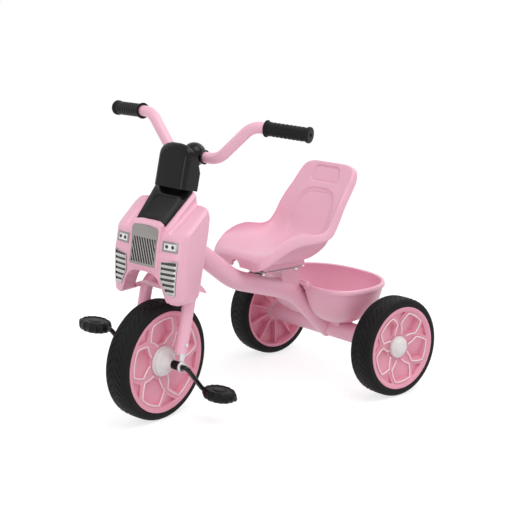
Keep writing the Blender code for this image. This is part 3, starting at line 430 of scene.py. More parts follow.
def seenDirectly(tree):
    # 1 for what the camera sees and for reflections, 0 for the light that falls on the object
    ray = addNode(tree, "LightPath")
    seen = addNode(tree, "Math")
    seen.operation = "MAXIMUM"
    wire(tree, ray, "Is Camera Ray", seen, 0)
    wire(tree, ray, "Is Glossy Ray", seen, 1)
    return seen


floorMaterial = bpy.data.materials.new("studioFloor")
floorMaterial.use_nodes = True
floorTree = floorMaterial.node_tree
floorTree.nodes.clear()
floorPlace = addNode(floorTree, "TexCoord")
speckle = addNode(floorTree, "TexNoise", {"Scale": 3.0})
floorTone = rampBetween(floorTree, (0.80, 0.80, 0.80), (0.84, 0.84, 0.84))
plain = addNode(floorTree, "BsdfDiffuse")
dim = addNode(floorTree, "BsdfDiffuse", {"Color": (0.45, 0.45, 0.45, 1)})
glow = addNode(floorTree, "Emission", {"Strength": studio["floorGlow"]})
brighter = addNode(floorTree, "AddShader")
mix = addNode(floorTree, "MixShader")
for step in ((floorPlace, "Object", speckle, "Vector"), (speckle, "Fac", floorTone, "Fac"),
             (floorTone, "Color", plain, "Color"), (dim, "BSDF", brighter, 0),
             (glow, "Emission", brighter, 1), (seenDirectly(floorTree), "Value", mix, "Fac"),
             (plain, "BSDF", mix, 1), (brighter, "Shader", mix, 2),
             (mix, "Shader", addNode(floorTree, "OutputMaterial"), "Surface")):
    wire(floorTree, *step)
floorGrid = bmesh.new()
bmesh.ops.create_grid(floorGrid, x_segments=4, y_segments=4, size=studio["floorSize"])
floorMesh = bpy.data.meshes.new("studio_floor")
floorGrid.to_mesh(floorMesh)
floorGrid.free()
floorMesh.materials.append(floorMaterial)
addObject("studio_floor", floorMesh)

world = bpy.data.worlds.new("studio")
bpy.context.scene.world = world
world.use_nodes = True
sky = world.node_tree.nodes["Background"]
sky.inputs["Color"].default_value = (1, 1, 1, 1)
level = addNode(world.node_tree, "MapRange", {"To Min": studio["skyLight"], "To Max": 1.0})
wire(world.node_tree, seenDirectly(world.node_tree), "Value", level, "Value")
wire(world.node_tree, level, "Result", sky, "Strength")

lamps = {
    "keyLamp": {"place": (1.5, 0.1, 3.2), "aim": (0, 0, 0.3), "size": (2.2, 2.2), "power": 43.0},
    "fillLamp": {"place": (-2.2, -1.4, 1.6), "aim": (0, 0, 0.3), "size": (2.0, 2.0), "power": 4.0},
    "rearLamp": {"place": (0.2, 2.4, 2.8), "aim": (0, 0, 0.3), "size": (2.0, 2.0), "power": 14.0},
    "stripLamp": {"place": (0.5, -1.15, 0.66), "aim": (0, -0.2, 0.5), "size": (0.36, 0.6), "power": 1.6},
}
for name, lamp in lamps.items():
    light = bpy.data.lights.new(name, "AREA")
    light.shape = "RECTANGLE"
    light.size, light.size_y = lamp["size"]
    light.energy = lamp["power"]
    aimed(addObject(name, light), lamp["place"], Vector(lamp["aim"]) - Vector(lamp["place"]))
print("camera and studio ready")


# tyres and rims

tyreLook = {"width": 55.0, "depth": 18.0, "bars": 44, "groove": 1.7, "slant": 0.55, "columns": 6}
halfWidth = tyreLook["width"] / 2


def makeTyre(name, radius, centre, body, node):
    bead = radius - tyreLook["depth"] + 0.3
    right = softCorners([(radius + 0.4, 0), (radius, 17), (radius - 1.6, 23.5), (radius - 7, 27.3),
                         (radius - 12, halfWidth), (bead, halfWidth), (bead, halfWidth - 3.8),
                         (bead - 3, halfWidth - 3.8)], 3.0, 3, closed=False)
    dense = []
    for a, b in zip(right, right[1:]):
        pieces = max(1, int((b - a).length / 2.2))
        dense += [a.lerp(b, k / pieces) for k in range(pieces)]
    dense.append(right[-1])
    profile = [(p[0], p[1]) for p in dense] + [(p[0], -p[1]) for p in dense[:0:-1]]
    steps = tyreLook["bars"] * tyreLook["columns"]
    bm = lathe(profile, steps, centre)
    for vert in bm.verts:
        offset = vert.co - centre
        reach = hypot(offset.y, offset.z)
        if reach < radius - 13:
            continue
        angle = atan2(offset.z, offset.y)
        column = round(angle / (2 * pi) * steps) % tyreLook["columns"]
        across = abs(offset.x)
        inTread = ease((across - 2.5) / 2.5) * (1 - ease((across - 15) / 10))
        if column in (0, 1):
            reach -= tyreLook["groove"] * inTread
        if across < 2.0:
            reach -= 0.9
        angle += radians(tyreLook["slant"] * across * (0.55 + across / 40))
        vert.co = centre + Vector((offset.x, reach * cos(angle), reach * sin(angle)))
    makePiece(name, bm, "foamTyre", body, node, 28.0)


# corner and shoulder are degrees from the middle of a petal, waist is where it is widest
rimLook = {"petals": 5, "corner": 17, "shoulder": 31, "waist": 0.68, "reach": 14.0, "dish": 9,
           "panelDrop": 15.0, "ridge": 1.6, "webs": 10}


def polar(x, radius, degrees):
    return Vector((x, radius * cos(radians(degrees)), radius * sin(radians(degrees))))


def petalPocket(turn, side, inner, outer, face):
    # leaning floor: level with the rim on one edge, deep on the other
    corner, shoulder, waist = rimLook["corner"], rimLook["shoulder"], outer * rimLook["waist"]
    mouth = []
    bottom = []
    for radius, angle in ((inner, -corner), (inner, corner), (waist, shoulder), (outer, corner),
                          (outer, -corner), (waist, -shoulder)):
        mouth.append(polar(side * (face + 12), radius, turn + angle))
        lean = (shoulder - side * angle) / (2 * shoulder)
        drop = rimLook["panelDrop"] * lean * radius / outer + 1.0
        inset = drop * 0.55 if lean > 0.4 else -0.4
        dish = (outer - radius) / (outer - inner) * rimLook["dish"]
        reach = radius - (1.5 if radius == outer else 0)
        bottom.append(polar(side * (face - dish - drop), reach, turn + angle + side * inset / radius * 57.3))
    bm = bmesh.new()
    loops = []
    for points in (bottom, mouth):
        verts = [bm.verts.new(point) for point in points]
        loops.append([bm.edges.new(pair) for pair in zip(verts, verts[1:] + verts[:1])])
        bm.faces.new(verts)
    bmesh.ops.bridge_loops(bm, edges=loops[0] + loops[1])
    bmesh.ops.triangulate(bm, faces=[face for face in bm.faces if len(face.verts) > 4])
    bmesh.ops.recalc_face_normals(bm, faces=bm.faces)
    return bm


def notchPocket(turn, side, inner, outer, face):
    corners = [(inner, 0), (outer, 13), (outer, 6), (outer, -6), (outer, -13)]
    outline = [polar(0, radius, turn + angle) for radius, angle in corners]
    return raised(outline, (side * (face - 6), 0, 0), (side * (face + 12), 0, 0))


def petalRidge(turn, side, inner, outer, face):
    # thin bead round three sides of a petal
    waist = outer * rimLook["waist"]
    right = [(outer, rimLook["corner"]), (waist, rimLook["shoulder"]), (inner - 4, 15)]
    shape = [(r, -a) for r, a in right[::-1]] + right
    line = []
    points = [(r + (s - r) * k / 6, a + (b - a) * k / 6)
              for (r, a), (s, b) in zip(shape, shape[1:]) for k in range(6)]
    for radius, angle in points + shape[-1:]:
        dish = max(0.0, (outer - radius) / (outer - inner)) * rimLook["dish"]
        line.append(polar(side * (face - dish + 0.3), radius, turn + angle))
    return tube(line, rimLook["ridge"], 8)


def discProfile(edge, hubSeat, hubRadius):
    return [(edge - 3, halfWidth - 3.5), (edge, halfWidth - 3.5), (edge, halfWidth + 0.4),
            (edge - 1.2, halfWidth + 0.5), (edge - 4.5, halfWidth + 0.5), (edge - 6.5, halfWidth - 0.5),
            (edge - 9, halfWidth - 3), (hubRadius + 6, hubSeat + 1), (hubRadius + 1, hubSeat), (9, hubSeat)]


def petalRim(disc, starts, hub, notch, edge, centre):
    # the disc with petals and notches cut into its faces, and the beads round the petals
    outer = edge - rimLook["reach"]
    face = halfWidth - 4
    cutters = []
    ridges = []
    for side, start in starts:
        for k in range(rimLook["petals"]):
            turn = start + 360 / rimLook["petals"] * k
            cutters.append(petalPocket(turn, side, hub, outer, face))
            cutters.append(notchPocket(turn + 180 / rimLook["petals"], side, outer - notch, outer + 3, face))
            ridges.append(petalRidge(turn, side, hub - 1, outer, face + 1.2))
    rim = carved(disc, joined(*cutters))
    beads = joined(*ridges)
    for bm in (rim, beads):
        bmesh.ops.translate(bm, vec=centre, verts=bm.verts)
    return rim, beads


def makeFrontRim():
    edge = setup["frontRadius"] - tyreLook["depth"]
    right = discProfile(edge, 14.5, 31)
    disc = lathe(right + [(radius, -along) for radius, along in right[::-1]], 120)
    rim, ridges = petalRim(disc, ((1, -119), (-1, -61)), 41, 16, edge, wheelCentre)
    makePiece("front_rim_disc", rim, "rimPlastic", "front_wheel", "front_rim", 30.0)
    # the front beads take the pale painted-highlight finish
    makePiece("front_rim_ridges", ridges, "ridgePaintedHighlight", "front_wheel", smooth=60.0)


def makeRearRim(name, side, centre):
    edge = setup["rearRadius"] - tyreLook["depth"]
    inner = halfWidth - 3
    front = discProfile(edge, 9.5, 25)[:-1]
    back = [(5.4, 9.5), (5.4, -inner), (21, -inner), (23, 1 - inner), (26, 6 - inner), (38, -3),
            (edge - 8, -6), (edge - 6, -halfWidth + 1), (edge - 4.5, -halfWidth - 0.5),
            (edge, -halfWidth - 0.5), (edge, 3.5 - halfWidth), (edge - 3, 3.5 - halfWidth)]
    disc = lathe([(radius, side * along) for radius, along in front + back], 120)
    rim, ridges = petalRim(disc, ((side, -90 + side * 4),), 35, 15, edge, centre)
    webs = []
    for k in range(rimLook["webs"]):
        degrees = -90 + 360 / rimLook["webs"] * k
        outline = [centre + polar(side * x, radius, degrees)
                   for x, radius in ((4 - inner, 22), (5 - inner, edge - 7), (-2, edge - 7), (1, 30))]
        across = polar(0, 1.6, degrees + 90)
        webs.append(raised(outline, -across, across))
    body = "rear_wheel_" + name
    makePiece("rear_rim_disc_" + name, rim, "rimPlastic", body, "rear_rim_" + name, 30.0)
    makePiece("rear_rim_webs_" + name, joined(*webs), "rimPlastic", body, smooth=30.0)
    # the rear beads take the pale painted-highlight finish
    makePiece("rear_rim_ridges_" + name, ridges, "ridgePaintedHighlight", body, smooth=60.0)


# radius and distance from the middle of the wheel
capLook = {"corner": 1.4, "profile": [(0, 27.2), (12, 26.4), (18, 22.8), (20, 20.4), (21.8, 20.2), (24, 17.5),
                                      (24, 9.9), (14, 9.9), (14, 16), (0, 22)]}
dome = [(radius, along, 0) for radius, along in capLook["profile"]]
dome = softCorners(dome, capLook["corner"], 4, closed=False)
makeTyre("front_tyre_foam", setup["frontRadius"], wheelCentre, "front_wheel", "front_tyre")
makeFrontRim()
for name, side in sides:
    centre = axleCentre + Vector((side * setup["rearTrack"] / 2, 0, 0))
    body = "rear_wheel_" + name
    makeTyre("rear_tyre_foam_" + name, setup["rearRadius"], centre, body, "rear_tyre_" + name)
    makeRearRim(name, side, centre)
    makePiece("hub_cap_" + name, lathe([(p[0], side * p[1]) for p in dome], 64, centre), "hubWhite", body,
              "rear_hub_cap_" + name, 40.0)
print("wheels made")


# frame tubes

tubeLook = {"spineRadius": 21.5, "axleRadius": 22.3, "headRadius": 18.0, "wall": 2.5}


def pipe(radius, wall, low, high, soft, steps, centre, axis=(1, 0, 0)):
    # straight tube with softened rims
    corners = [(radius, low), (radius, high), (radius - wall, high), (radius - wall, low)]
    return lathe(softCorners(corners, soft, steps), 64, centre, axis)


spinePath = smoothPath([(0, 56, 378), (0, 203, 262), (0, 370, 211), (0, 487, 102)], [150, 130], 24)
axleRoom = rod(tubeLook["axleRadius"] + 0.3, -60, 60, 64, axleCentre)
headRoom = rod(tubeLook["headRadius"] + 0.3, 140, 400, 64, wheelCentre, steerAxis)
spine = carved(tube(spinePath, tubeLook["spineRadius"], 56), axleRoom, headRoom)
makePiece("spine_tube", spine, "tubePaint", "frame", "frame_spine", 40.0)
axleTube = pipe(tubeLook["axleRadius"], tubeLook["wall"], -180, 180, 0.8, 2, axleCentre)
makePiece("axle_tube", axleTube, "tubePaint", "frame", "rear_axle_tube", 40.0)
headTube = pipe(tubeLook["headRadius"], tubeLook["wall"], 198, 352, 0.6, 2, wheelCentre, steerAxis)
makePiece("head_tube_barrel", headTube, "tubePaint", "frame", "head_tube", 40.0)
collar = pipe(26, 7.6, 328, 333, 1.2, 3, wheelCentre, steerAxis)
makePiece("collar_ring", collar, "redPlastic", "frame", "head_tube_collar", 40.0)


# fork, steerer and handlebar

forkLook = {"tube": 13.0, "wall": 2.0, "halfWidth": 60.0, "legLow": 28.0, "crown": 178.0, "bend": 44.0,
            "screw": 45.0}
leg = [rake(forkLook["halfWidth"], along, 0) for along in (forkLook["crown"], forkLook["legLow"])]
forkPath = smoothPath(mirrored(leg[::-1]) + leg, [forkLook["bend"]] * 2, 16)
screwSpot = rake(0, forkLook["screw"], 0)
fork = carved(tube(forkPath, forkLook["tube"], 48, forkLook["wall"]), rod(2.4, -90, 90, 24, screwSpot))
makePiece("fork_tube", fork, "tubePaint", "steering", "fork", 40.0)

# grip ends are points left of the middle
barLook = {"tube": 11.7, "wall": 2.0, "middle": (0.0, 428.0, 12.0), "bends": 48.0, "gripIn": (166, 127, 610),
           "gripOut": (261, 145, 606)}
barCentre = rake(*barLook["middle"])
gripIn = Vector(barLook["gripIn"])
gripOut = Vector(barLook["gripOut"])
gripWay = (gripOut - gripIn).normalized()
gripLength = (gripOut - gripIn).length
barMiddle = barCentre + Vector((0, 3, -3))
barRight = [Vector((62, barMiddle.y, barMiddle.z)), Vector((136, 121.5, 611.3)), gripOut - gripWay * 3]
barPath = smoothPath(mirrored(barRight[::-1]) + barRight, [barLook["bends"]] * 4, 14)
makePiece("handlebar_tube", tube(barPath, barLook["tube"], 40, barLook["wall"]), "tubePaint", "steering",
          "handlebar", 40.0)

gripLook = {"ribs": 9, "ribHeight": 0.7, "flange": 17.0, "barrel": 13.6}
flange = gripLook["flange"]
barrel = gripLook["barrel"]
pitch = (gripLength - 18) / gripLook["ribs"]
outline = [(12.3, 0), (flange - 0.6, 0), (flange, 0.8), (flange, 2.6), (flange - 0.6, 3.4), (14.2, 4.4)]
for k in range(gripLook["ribs"]):
    start = 7 + k * pitch
    outline += [(barrel, start), (barrel + gripLook["ribHeight"], start + 1),
                (barrel + gripLook["ribHeight"], start + pitch * 0.45), (barrel, start + pitch * 0.58)]
gripEnd = ((barrel, 8), (15.6, 6.5), (16, 5), (16, 1.4), (15, 0.2), (13, 0), (4.2, 0), (4, 0.6), (4, 2.6),
           (12.3, 2.6))
outline += [(radius, gripLength - back) for radius, back in gripEnd]
for name, side in sides:
    start = Vector((side * gripIn.x, gripIn.y, gripIn.z))
    way = Vector((side * gripWay.x, gripWay.y, gripWay.z))
    makePiece("grip_ribbed_" + name, lathe(outline, 56, start, way), "satinBlack", "steering",
              "grip_" + name, 45.0)
print("frame and bars made")


# seat

# recesses: height of the middle, half width, half height, corner, taper, depth
seatLook = {"skin": 5.0, "back": (384, 60, 50, 36, 0.1, 3.4), "head": (466, 41, 16, 10, 0.2, 2.2),
            "step": 6.0, "crease": 1.6, "groove": 1.3, "across": 92, "along": 260}
# crest x y z, lip out back down, pan y z, underside y z
seatTable = [
    (58, 207, 301, 2, -1, 13, 207, 306, 209, 290), (76, 211, 309, 2, -1, 16, 209, 314, 214, 296),
    (88, 226, 323, 3, -1, 20, 219, 321, 226, 302), (92, 244, 338, 4, 0, 23, 236, 322, 243, 298),
    (93, 262, 349, 5, 0, 26, 256, 321, 262, 290), (93, 288, 358, 6, 0, 26, 284, 320, 286, 286),
    (92, 315, 361, 6, 2, 25, 312, 320, 313, 285), (92, 340, 357, 6, 4, 21, 340, 321, 343, 285),
    (93, 362, 354, 6, 8, 17, 366, 324, 374, 288), (94, 384, 358, 6, 13, 14, 390, 331, 402, 305),
    (93, 400, 375, 5, 16, 10, 408, 346, 419, 333), (92, 416, 400, 4, 17, 7, 424, 375, 433, 369),
    (90, 431, 420, 4, 17, 5, 440, 408, 446, 404), (86, 451, 444, 4, 17, 5, 452, 432, 457, 429),
    (84, 464, 461, 4, 16, 5, 463, 452, 468, 449), (79, 475, 476, 3, 13, 3, 471, 470, 476, 467),
    (69, 481, 485, 3, 10, 3, 477, 483, 481, 480), (50, 484, 490, 2, 7, 2, 481, 491, 485, 488),
]


def fromEdge(x, z, middle, wide, tall, corner, taper):
    # distance from the edge of a rounded and tapered rectangle, negative inside
    a = abs(x) - wide + (z - middle) * taper + corner
    b = abs(z - middle) - tall + corner
    return hypot(max(a, 0), max(b, 0)) + min(max(a, b), 0) - corner


def seatDent(point):
    # moulded recesses of the backrest and the head, with two grooves in the pan
    x, y, z = point
    if z > 326 and y > 380:
        back = fromEdge(x, z, *seatLook["back"][:5])
        head = fromEdge(x, z, *seatLook["head"][:5])
        dent = 0.0
        for edge, depth, crease in ((back, seatLook["back"][5] * 0.55, 1.0),
                                    (back + seatLook["step"], seatLook["back"][5] * 0.45, 0.7),
                                    (head, seatLook["head"][5], 1.0)):
            dent += depth * (1 - ease(edge / 2.4 + 0.5))
            dent += seatLook["crease"] * crease * exp(-(edge / 2.0) ** 2)
        return Vector((0, 0.86 * dent, -0.5 * dent))
    if y < 300:
        groove = exp(-((abs(x) - 18 - (y - 232) * 0.28) / 1.6) ** 2)
        fade = ease((y - 228) / 6) * (1 - ease((y - 284) / 10))
        return Vector((0, 0, -seatLook["groove"] * groove * fade))
    return Vector((0, 0, 0))


def seatRing(v):
    inner = ease(min(1.0, min(v, 1 - v) / 0.012))
    row = curveThrough(seatTable, v * (len(seatTable) - 1))
    crest = Vector(row[0:3])
    lip = Vector((row[3], row[4], -row[5]))
    pan = Vector((0, row[6], row[7]))
    under = Vector((0, row[8], row[9]))
    outer = crest + lip * inner
    crease = crest + Vector((-seatLook["skin"], lip.y * 0.8, lip.z * 0.8)) * inner
    under = pan.lerp(under, inner)
    half = seatLook["across"] // 2
    upper = []
    lower = []
    for k in range(half + 1):
        t = k / half * pi / 2
        rise = (1 - cos(t)) ** 1.2
        point = Vector((crest.x * sin(t), pan.y + (crest.y - pan.y) * rise, pan.z + (crest.z - pan.z) * rise))
        upper.append(point + seatDent(point) * inner)
        rise = (1 - cos(t)) ** 1.25
        lower.append(Vector((crease.x * sin(t), under.y + (crease.y - under.y) * rise,
                             under.z + (crease.z - under.z) * rise)))
    bulge = Vector((1.6, 0, 0)) * inner
    roll = Vector((0.8, 0.0, 0.9)) * inner
    edge = [crest.lerp(outer, 0.1) + roll, crest.lerp(outer, 0.35) + bulge, crest.lerp(outer, 0.65) + bulge,
            crest.lerp(outer, 0.92) + bulge * 0.6, outer, outer.lerp(crease, 0.35), outer.lerp(crease, 0.7)]
    right = upper + edge + lower[::-1]
    return right + mirrored(right[-2:0:-1]) + [right[0]]


seatRings = {}


def seatPlace(u, v):
    ring = seatRings.get(v) or seatRings.setdefault(v, seatRing(v))
    return ring[round(u * (len(ring) - 1))]


def archShape(half, low, high):
    turns = [pi - pi * k / 16 for k in range(17)]
    top = [(half * cos(turn), 0, high - half * (1 - sin(turn))) for turn in turns]
    return [(-half, 0, low)] + top + [(half, 0, low)]


ringCount = len(seatRing(0.5)) - 1
seat = shapedGrid(ringCount, seatLook["along"], seatPlace)
plinth = rounded(box((-30, 266, 273.3), (30, 383, 302)), 4, 3, 60)
archBead = rounded(raised(archShape(25, 291, 321), (0, 203, 0), (0, 217, 0)), 5.0, 5, 50)
plinthRoom = box((-26, 274, 260), (26, 376, 299))
archRoom = raised(archShape(13.5, 270, 307), (0, 190, 0), (0, 230, 0))
frontRoom = box((-56, 215, 262), (56, 250, 298))
boltRooms = joined(*[rod(2.9, -5, 14, 20, (x, y, 273.3), (0, 0, 1)) for x in (-22, 22) for y in (270, 364)])
seat = carved(fused(seat, plinth, archBead), plinthRoom, frontRoom, archRoom, boltRooms)
makePiece("seat_bucket", seat, "shellPlastic", "frame", "seat_shell", 45.0)
print("seat made")


# basket

# flare: half width, front, back and channel of the rim
basketLook = {"wall": 3.0, "bead": 3.4, "flare": (154, 375, 582, 398)}
# height, half width, front, back and end of the channel round the frame tube
basketTable = [(138.0, 78, 442, 530, 482), (139.5, 86, 435, 536, 480), (144.0, 99, 424, 545, 478),
               (158.0, 120, 408, 558, 467), (180.0, 136, 394, 568, 450), (204.0, 146, 384, 575, 428),
               (218.0, 149, 380, 577, 410)]


def basketLine(row, inset):
    # rounded outline of one level, with its channel
    height, wide, front, back, hollow = row
    middle = front + (back - front) * 0.38
    half = [(0, hollow), (9, hollow), (17, hollow - 1.5), (23, hollow - 5),
            (26.5, hollow - (hollow - front) * 0.4), (29, front + 4)]
    for k in range(1, 15):
        angle = radians(-90 + 90 * k / 14)
        half.append((29 + (wide - 29) * abs(cos(angle)) ** 0.55,
                     middle - (middle - front) * abs(sin(angle)) ** 0.8))
    for k in range(1, 15):
        angle = radians(90 * k / 14)
        half.append((wide * cos(angle) ** 0.8 if k < 14 else 0, middle + (back - middle) * sin(angle) ** 0.9))
    half = [Vector((x, y, 0)) for x, y in half]
    line = half + mirrored(half[-2:0:-1])
    made = []
    for i, point in enumerate(line):
        along = (line[(i + 1) % len(line)] - line[i - 1]).normalized()
        made.append(Vector((point.x - along.y * inset, point.y + along.x * inset, height)))
    return made + [made[0]]


# rim from outside to inside: how far inside the flare, and height
rimSteps = ((3.4, 218.6), (1.2, 219.2), (0.2, 221), (0, 224), (0.4, 227.5), (1.6, 230), (3.6, 231),
            (6, 230.6), (8, 229))
levelRows = [curveThrough(basketTable, k / 24 * 6) for k in range(25)]
basketLevels = [basketLine(row, 0) for row in levelRows]
basketLevels += [basketLine((height, *basketLook["flare"]), inset) for inset, height in rimSteps]
for k in range(24, -1, -1):
    height = levelRows[k][0] + basketLook["wall"] * (1 - k / 24)
    basketLevels.append(basketLine((height, *levelRows[k][1:]), basketLook["wall"]))


def basketPlace(u, v):
    level = basketLevels[round(v * (len(basketLevels) - 1))]
    return level[round(u * (len(level) - 1))]


basket = shapedGrid(len(basketLevels[0]) - 1, len(basketLevels) - 1, basketPlace, roundWay=True)
beadRight = [Vector((14, 385, 229)), Vector((26, 381, 229)), Vector((46, 378.5, 229))]
beadLine = smoothPath(mirrored(beadRight[::-1]) + beadRight, [20] * 4, 5)
basket = fused(basket, rounded(tube(beadLine, basketLook["bead"], 24), 1.2, 3, 60))
makePiece("basket_bowl", basket, "shellPlastic", "frame", "basket", 50.0)
print("basket made")


# front hub, axle brackets, crank and pedals

driveLook = {"crankRadius": 5.0, "crankReach": 78.0, "crankAngle": -48.0, "crankRoot": 84.03,
             "crankPlane": 81.03, "pedalLength": 80.0, "pedalWide": 57.0, "pedalThick": 22.0, "scallops": 14}
for name, side in sides:
    hub = [(5.4, 14.9), (31.2, 14.9), (32, 15.7), (32, 19.6), (31.2, 20.4), (29.4, 20.8), (29.2, 21.4),
           (29.2, 24.8), (28.4, 25.8), (26.6, 26.4), (25.8, 27.6), (22, 28.9), (18.4, 30.6), (16.9, 32.2),
           (14.2, 35), (12.6, 38), (11.8, 41), (11.2, 45), (10.4, 45.6), (5.4, 45.6)]
    makePiece("front_hub_cup_" + name, lathe(hub, 64, wheelCentre, (side, 0, 0)), "hubWhite", "front_wheel",
              "front_hub_" + name, 40.0)
    sleeve = [(5.5, 46.1), (8.5, 46.1), (9, 46.6), (9, 63.9), (8.5, 64.4), (5.5, 64.4)]
    makePiece("sleeve_" + name, lathe(sleeve, 40, wheelCentre, (side, 0, 0)), "satinBlack", "front_wheel",
              "axle_sleeve_" + name)
    centre = wheelCentre + Vector((side * 67.9, 0, 0))
    eye = lathe([(5.35, -3), (9, -3), (10.4, -2.4), (11, -1.4), (11, 1.4), (10.4, 2.4), (9, 3), (5.35, 3)],
                48, centre)
    strapRight = [(9.3, 6.2), (20, 7.8), (50, 7.8)]
    strapLine = strapRight + [(along, -back) for along, back in strapRight[::-1]]
    corners = softCorners([rake(0, along, back) for along, back in strapLine], 4.0, 5)
    strap = raised(corners, (side * 65, 0, 0), (side * 67, 0, 0))
    bracket = carved(fused(eye, rounded(strap, 0.4, 2, 60)), rod(2.4, -90, 90, 24, screwSpot))
    makePiece("bracket_plate_" + name, bracket, "zincSteel", "steering", "axle_bracket_" + name, 40.0)
    screw = [(0, 59.3), (2.1, 59.3), (2.1, 73.3), (4.2, 73.3), (4.2, 74.2), (3.8, 75.1), (2.9, 75.7),
             (1.7, 75.9), (0, 75.9)]
    head = lathe(screw, 32, screwSpot, (side, 0, 0))
    slots = [rounded(box((-2.6, -0.45, -0.7), (2.6, 0.45, 0.7)), 0.1, 1, 60) for k in range(2)]
    for k, slot in enumerate(slots):
        slot.transform(Matrix.Translation(screwSpot + Vector((side * 75.95, 0, 0)))
                       @ Matrix.Rotation(pi / 2 * k + 0.4, 4, "X")
                       @ Matrix.Rotation(pi / 2, 4, "Y") @ Matrix.Rotation(pi / 2, 4, "Z"))
    makePiece("screw_" + name, carved(head, *slots), "zincSteel", "steering", "bracket_screw_" + name)

turn = radians(driveLook["crankAngle"])
arm = Vector((0, cos(turn), sin(turn))) * driveLook["crankReach"]
pedalFace = driveLook["crankPlane"] + driveLook["crankRadius"] + 0.6
spindleEnd = pedalFace + driveLook["pedalLength"] + 4
halfCrank = [Vector((driveLook["crankRoot"], 0, 0)), arm + Vector((driveLook["crankPlane"], 0, 0)),
             arm + Vector((spindleEnd, 0, 0))]
corners = [wheelCentre - p for p in halfCrank[::-1]] + [wheelCentre + p for p in halfCrank]
crank = tube(smoothPath(corners, [6, 7.5, 7.5, 6], 10), driveLook["crankRadius"], 32)
makePiece("crank_rod", rounded(crank, 0.9, 3, 60), "rodBlack", "front_wheel", "crank")



def pedalPoint(u, v):
    # scalloped edge, flat middle and a crowned top
    long = driveLook["pedalLength"] / 2
    wide = driveLook["pedalWide"] / 2
    thick = driveLook["pedalThick"] / 2
    a = 2 * pi * u
    wave = 0.93 + 0.07 * (1 - abs(sin(driveLook["scallops"] * a / 2)) ** 0.7)
    size = sin(pi * v) ** 0.42 if 0 < v < 1 else 0
    edge = wave if size > 0.8 else 1 - (1 - wave) * size / 0.8
    flat = max(-thick, min(thick, -thick * cos(pi * v) * 1.25))
    groove = 2.0 * ease((size - 0.34) / 0.06) * (1 - ease((size - 0.74) / 0.06))
    if abs(flat) > thick - 0.5:
        flat -= groove * (1 if flat > 0 else -1)
    return Vector((long * cos(a) * size * edge, wide * sin(a) * size * edge, flat))


for name, side in sides:
    centre = wheelCentre + arm * side + Vector((side * (pedalFace + driveLook["pedalLength"] / 2), 0, 0))
    pedal = carved(shapedGrid(224, 72, pedalPoint), rod(5.35, -60, 60, 32))
    bmesh.ops.translate(pedal, vec=centre, verts=pedal.verts)
    makePiece("pedal_block_" + name, pedal, "satinBlack", "pedal_" + name, "pedal_" + name, 45.0)
print("hub, crank and pedals made")


# mudguard

guardLook = {"start": -9.0, "end": 43.0, "half": 35.0, "thick": 2.5}
# degrees from the top, radius of the blade, depth of the skirt along its sides
guardTable = [(-9, 164.5, 0), (-3, 163, 5), (3, 159, 6), (10, 157.5, 6), (18, 157.5, 7), (25, 163, 10),
              (33, 172.5, 13), (38, 172.5, 8), (43, 169.5, 0.5)]


def guardPoint(u, v):
    degrees = guardLook["start"] + (guardLook["end"] - guardLook["start"]) * v
    angle = radians(degrees)
    row = rowAt(guardTable, degrees)
    upper = u <= 0.5
    across = u * 4 - 1 if upper else 3 - u * 4
    x = across * guardLook["half"]
    edge = max(0.0, (abs(across) - 0.86) / 0.14)
    r = row[1] - row[2] * edge + (guardLook["thick"] if upper else 0) * (1 - 0.6 * edge)
    if not upper:
        x *= 1 - 0.05 * edge
    return wheelCentre + Vector((x, sin(angle) * r, cos(angle) * r))


guard = shapedGrid(96, 60, guardPoint, roundWay=True)
crown = forkLook["crown"]
padCorners = [rake(0, along, back) for along, back in ((159, -9), (159, 9), (crown, 9), (crown, -9))]
pad = raised(padCorners, (-12, 0, 0), (12, 0, 0))
legRoom = tube([rake(-50, crown, 0), rake(50, crown, 0)], forkLook["tube"] + 0.4, 48)
guard = fused(guard, rounded(carved(pad, legRoom), 0.8, 2, 60))
makePiece("mudguard_blade", guard, "shellPlastic", "steering", "mudguard", 40.0)


# car front

carLook = {"half": 96.0, "skin": 5.0, "across": 96, "corner": 9.0, "lip": 2.2,
           "valley": 9.0, "valleyDepth": 6.0, "lobeLift": 12.0, "play": 0.4}
# ends of the panel's middle line, its half widths, the bow of its front edge, and its well
hoodLook = {"low": (0, -25.0, 417.6), "high": (0, 43.2, 478.6), "front": 40, "back": 50, "bow": 11,
            "thick": 4, "wellDepth": 2.4,
            "well": [(-28, 22, 0), (28, 22, 0), (33, 62, 0), (27, 69, 0), (-27, 69, 0), (-33, 62, 0)]}
# window of the grille and its leaning bars
grilleLook = {"low": 338.5, "middle": 364.0, "high": 389.5, "half": 31.2, "bars": 9, "lean": 20.0}
# rows of height, inner edge and outer edge
lampLook = {"frame": [(370, 45.5, 82), (380, 45.5, 81.2), (389.8, 45.5, 80.5)],
            "lens": [(373.4, 50.0, 77.4), (380, 50.0, 77.0), (386.4, 50.0, 76.6)], "bulbs": (56.5, 70.5)}
ventLook = {"low": 283.5, "high": 348.0, "inner": [(282, 63.4), (315, 46), (349, 47.5)],
            "outer": (80.8, 84.4), "slats": 6, "first": 284.2, "pitch": 10.75}
# x, then y at the foot, bumper, step and brow, back y, crown height
carTable = [(0, -41, -44, -41, -34, 48, 456), (24, -40.8, -43.8, -40.8, -33.8, 48.6, 456),
            (48, -40, -43, -40, -33, 50, 456), (66, -38.3, -41.5, -38.3, -31, 52, 455.3),
            (78, -36, -39, -36, -28, 53, 454), (86, -32.4, -35.4, -32.4, -25, 52, 452.4),
            (91, -28, -31, -28, -21, 50, 449), (96, -20, -22, -20, -14, 46, 443)]
carHeights = (262, 300, 358, 363, 402)


def carRow(x):
    return rowAt(carTable, min(carLook["half"], abs(x)))


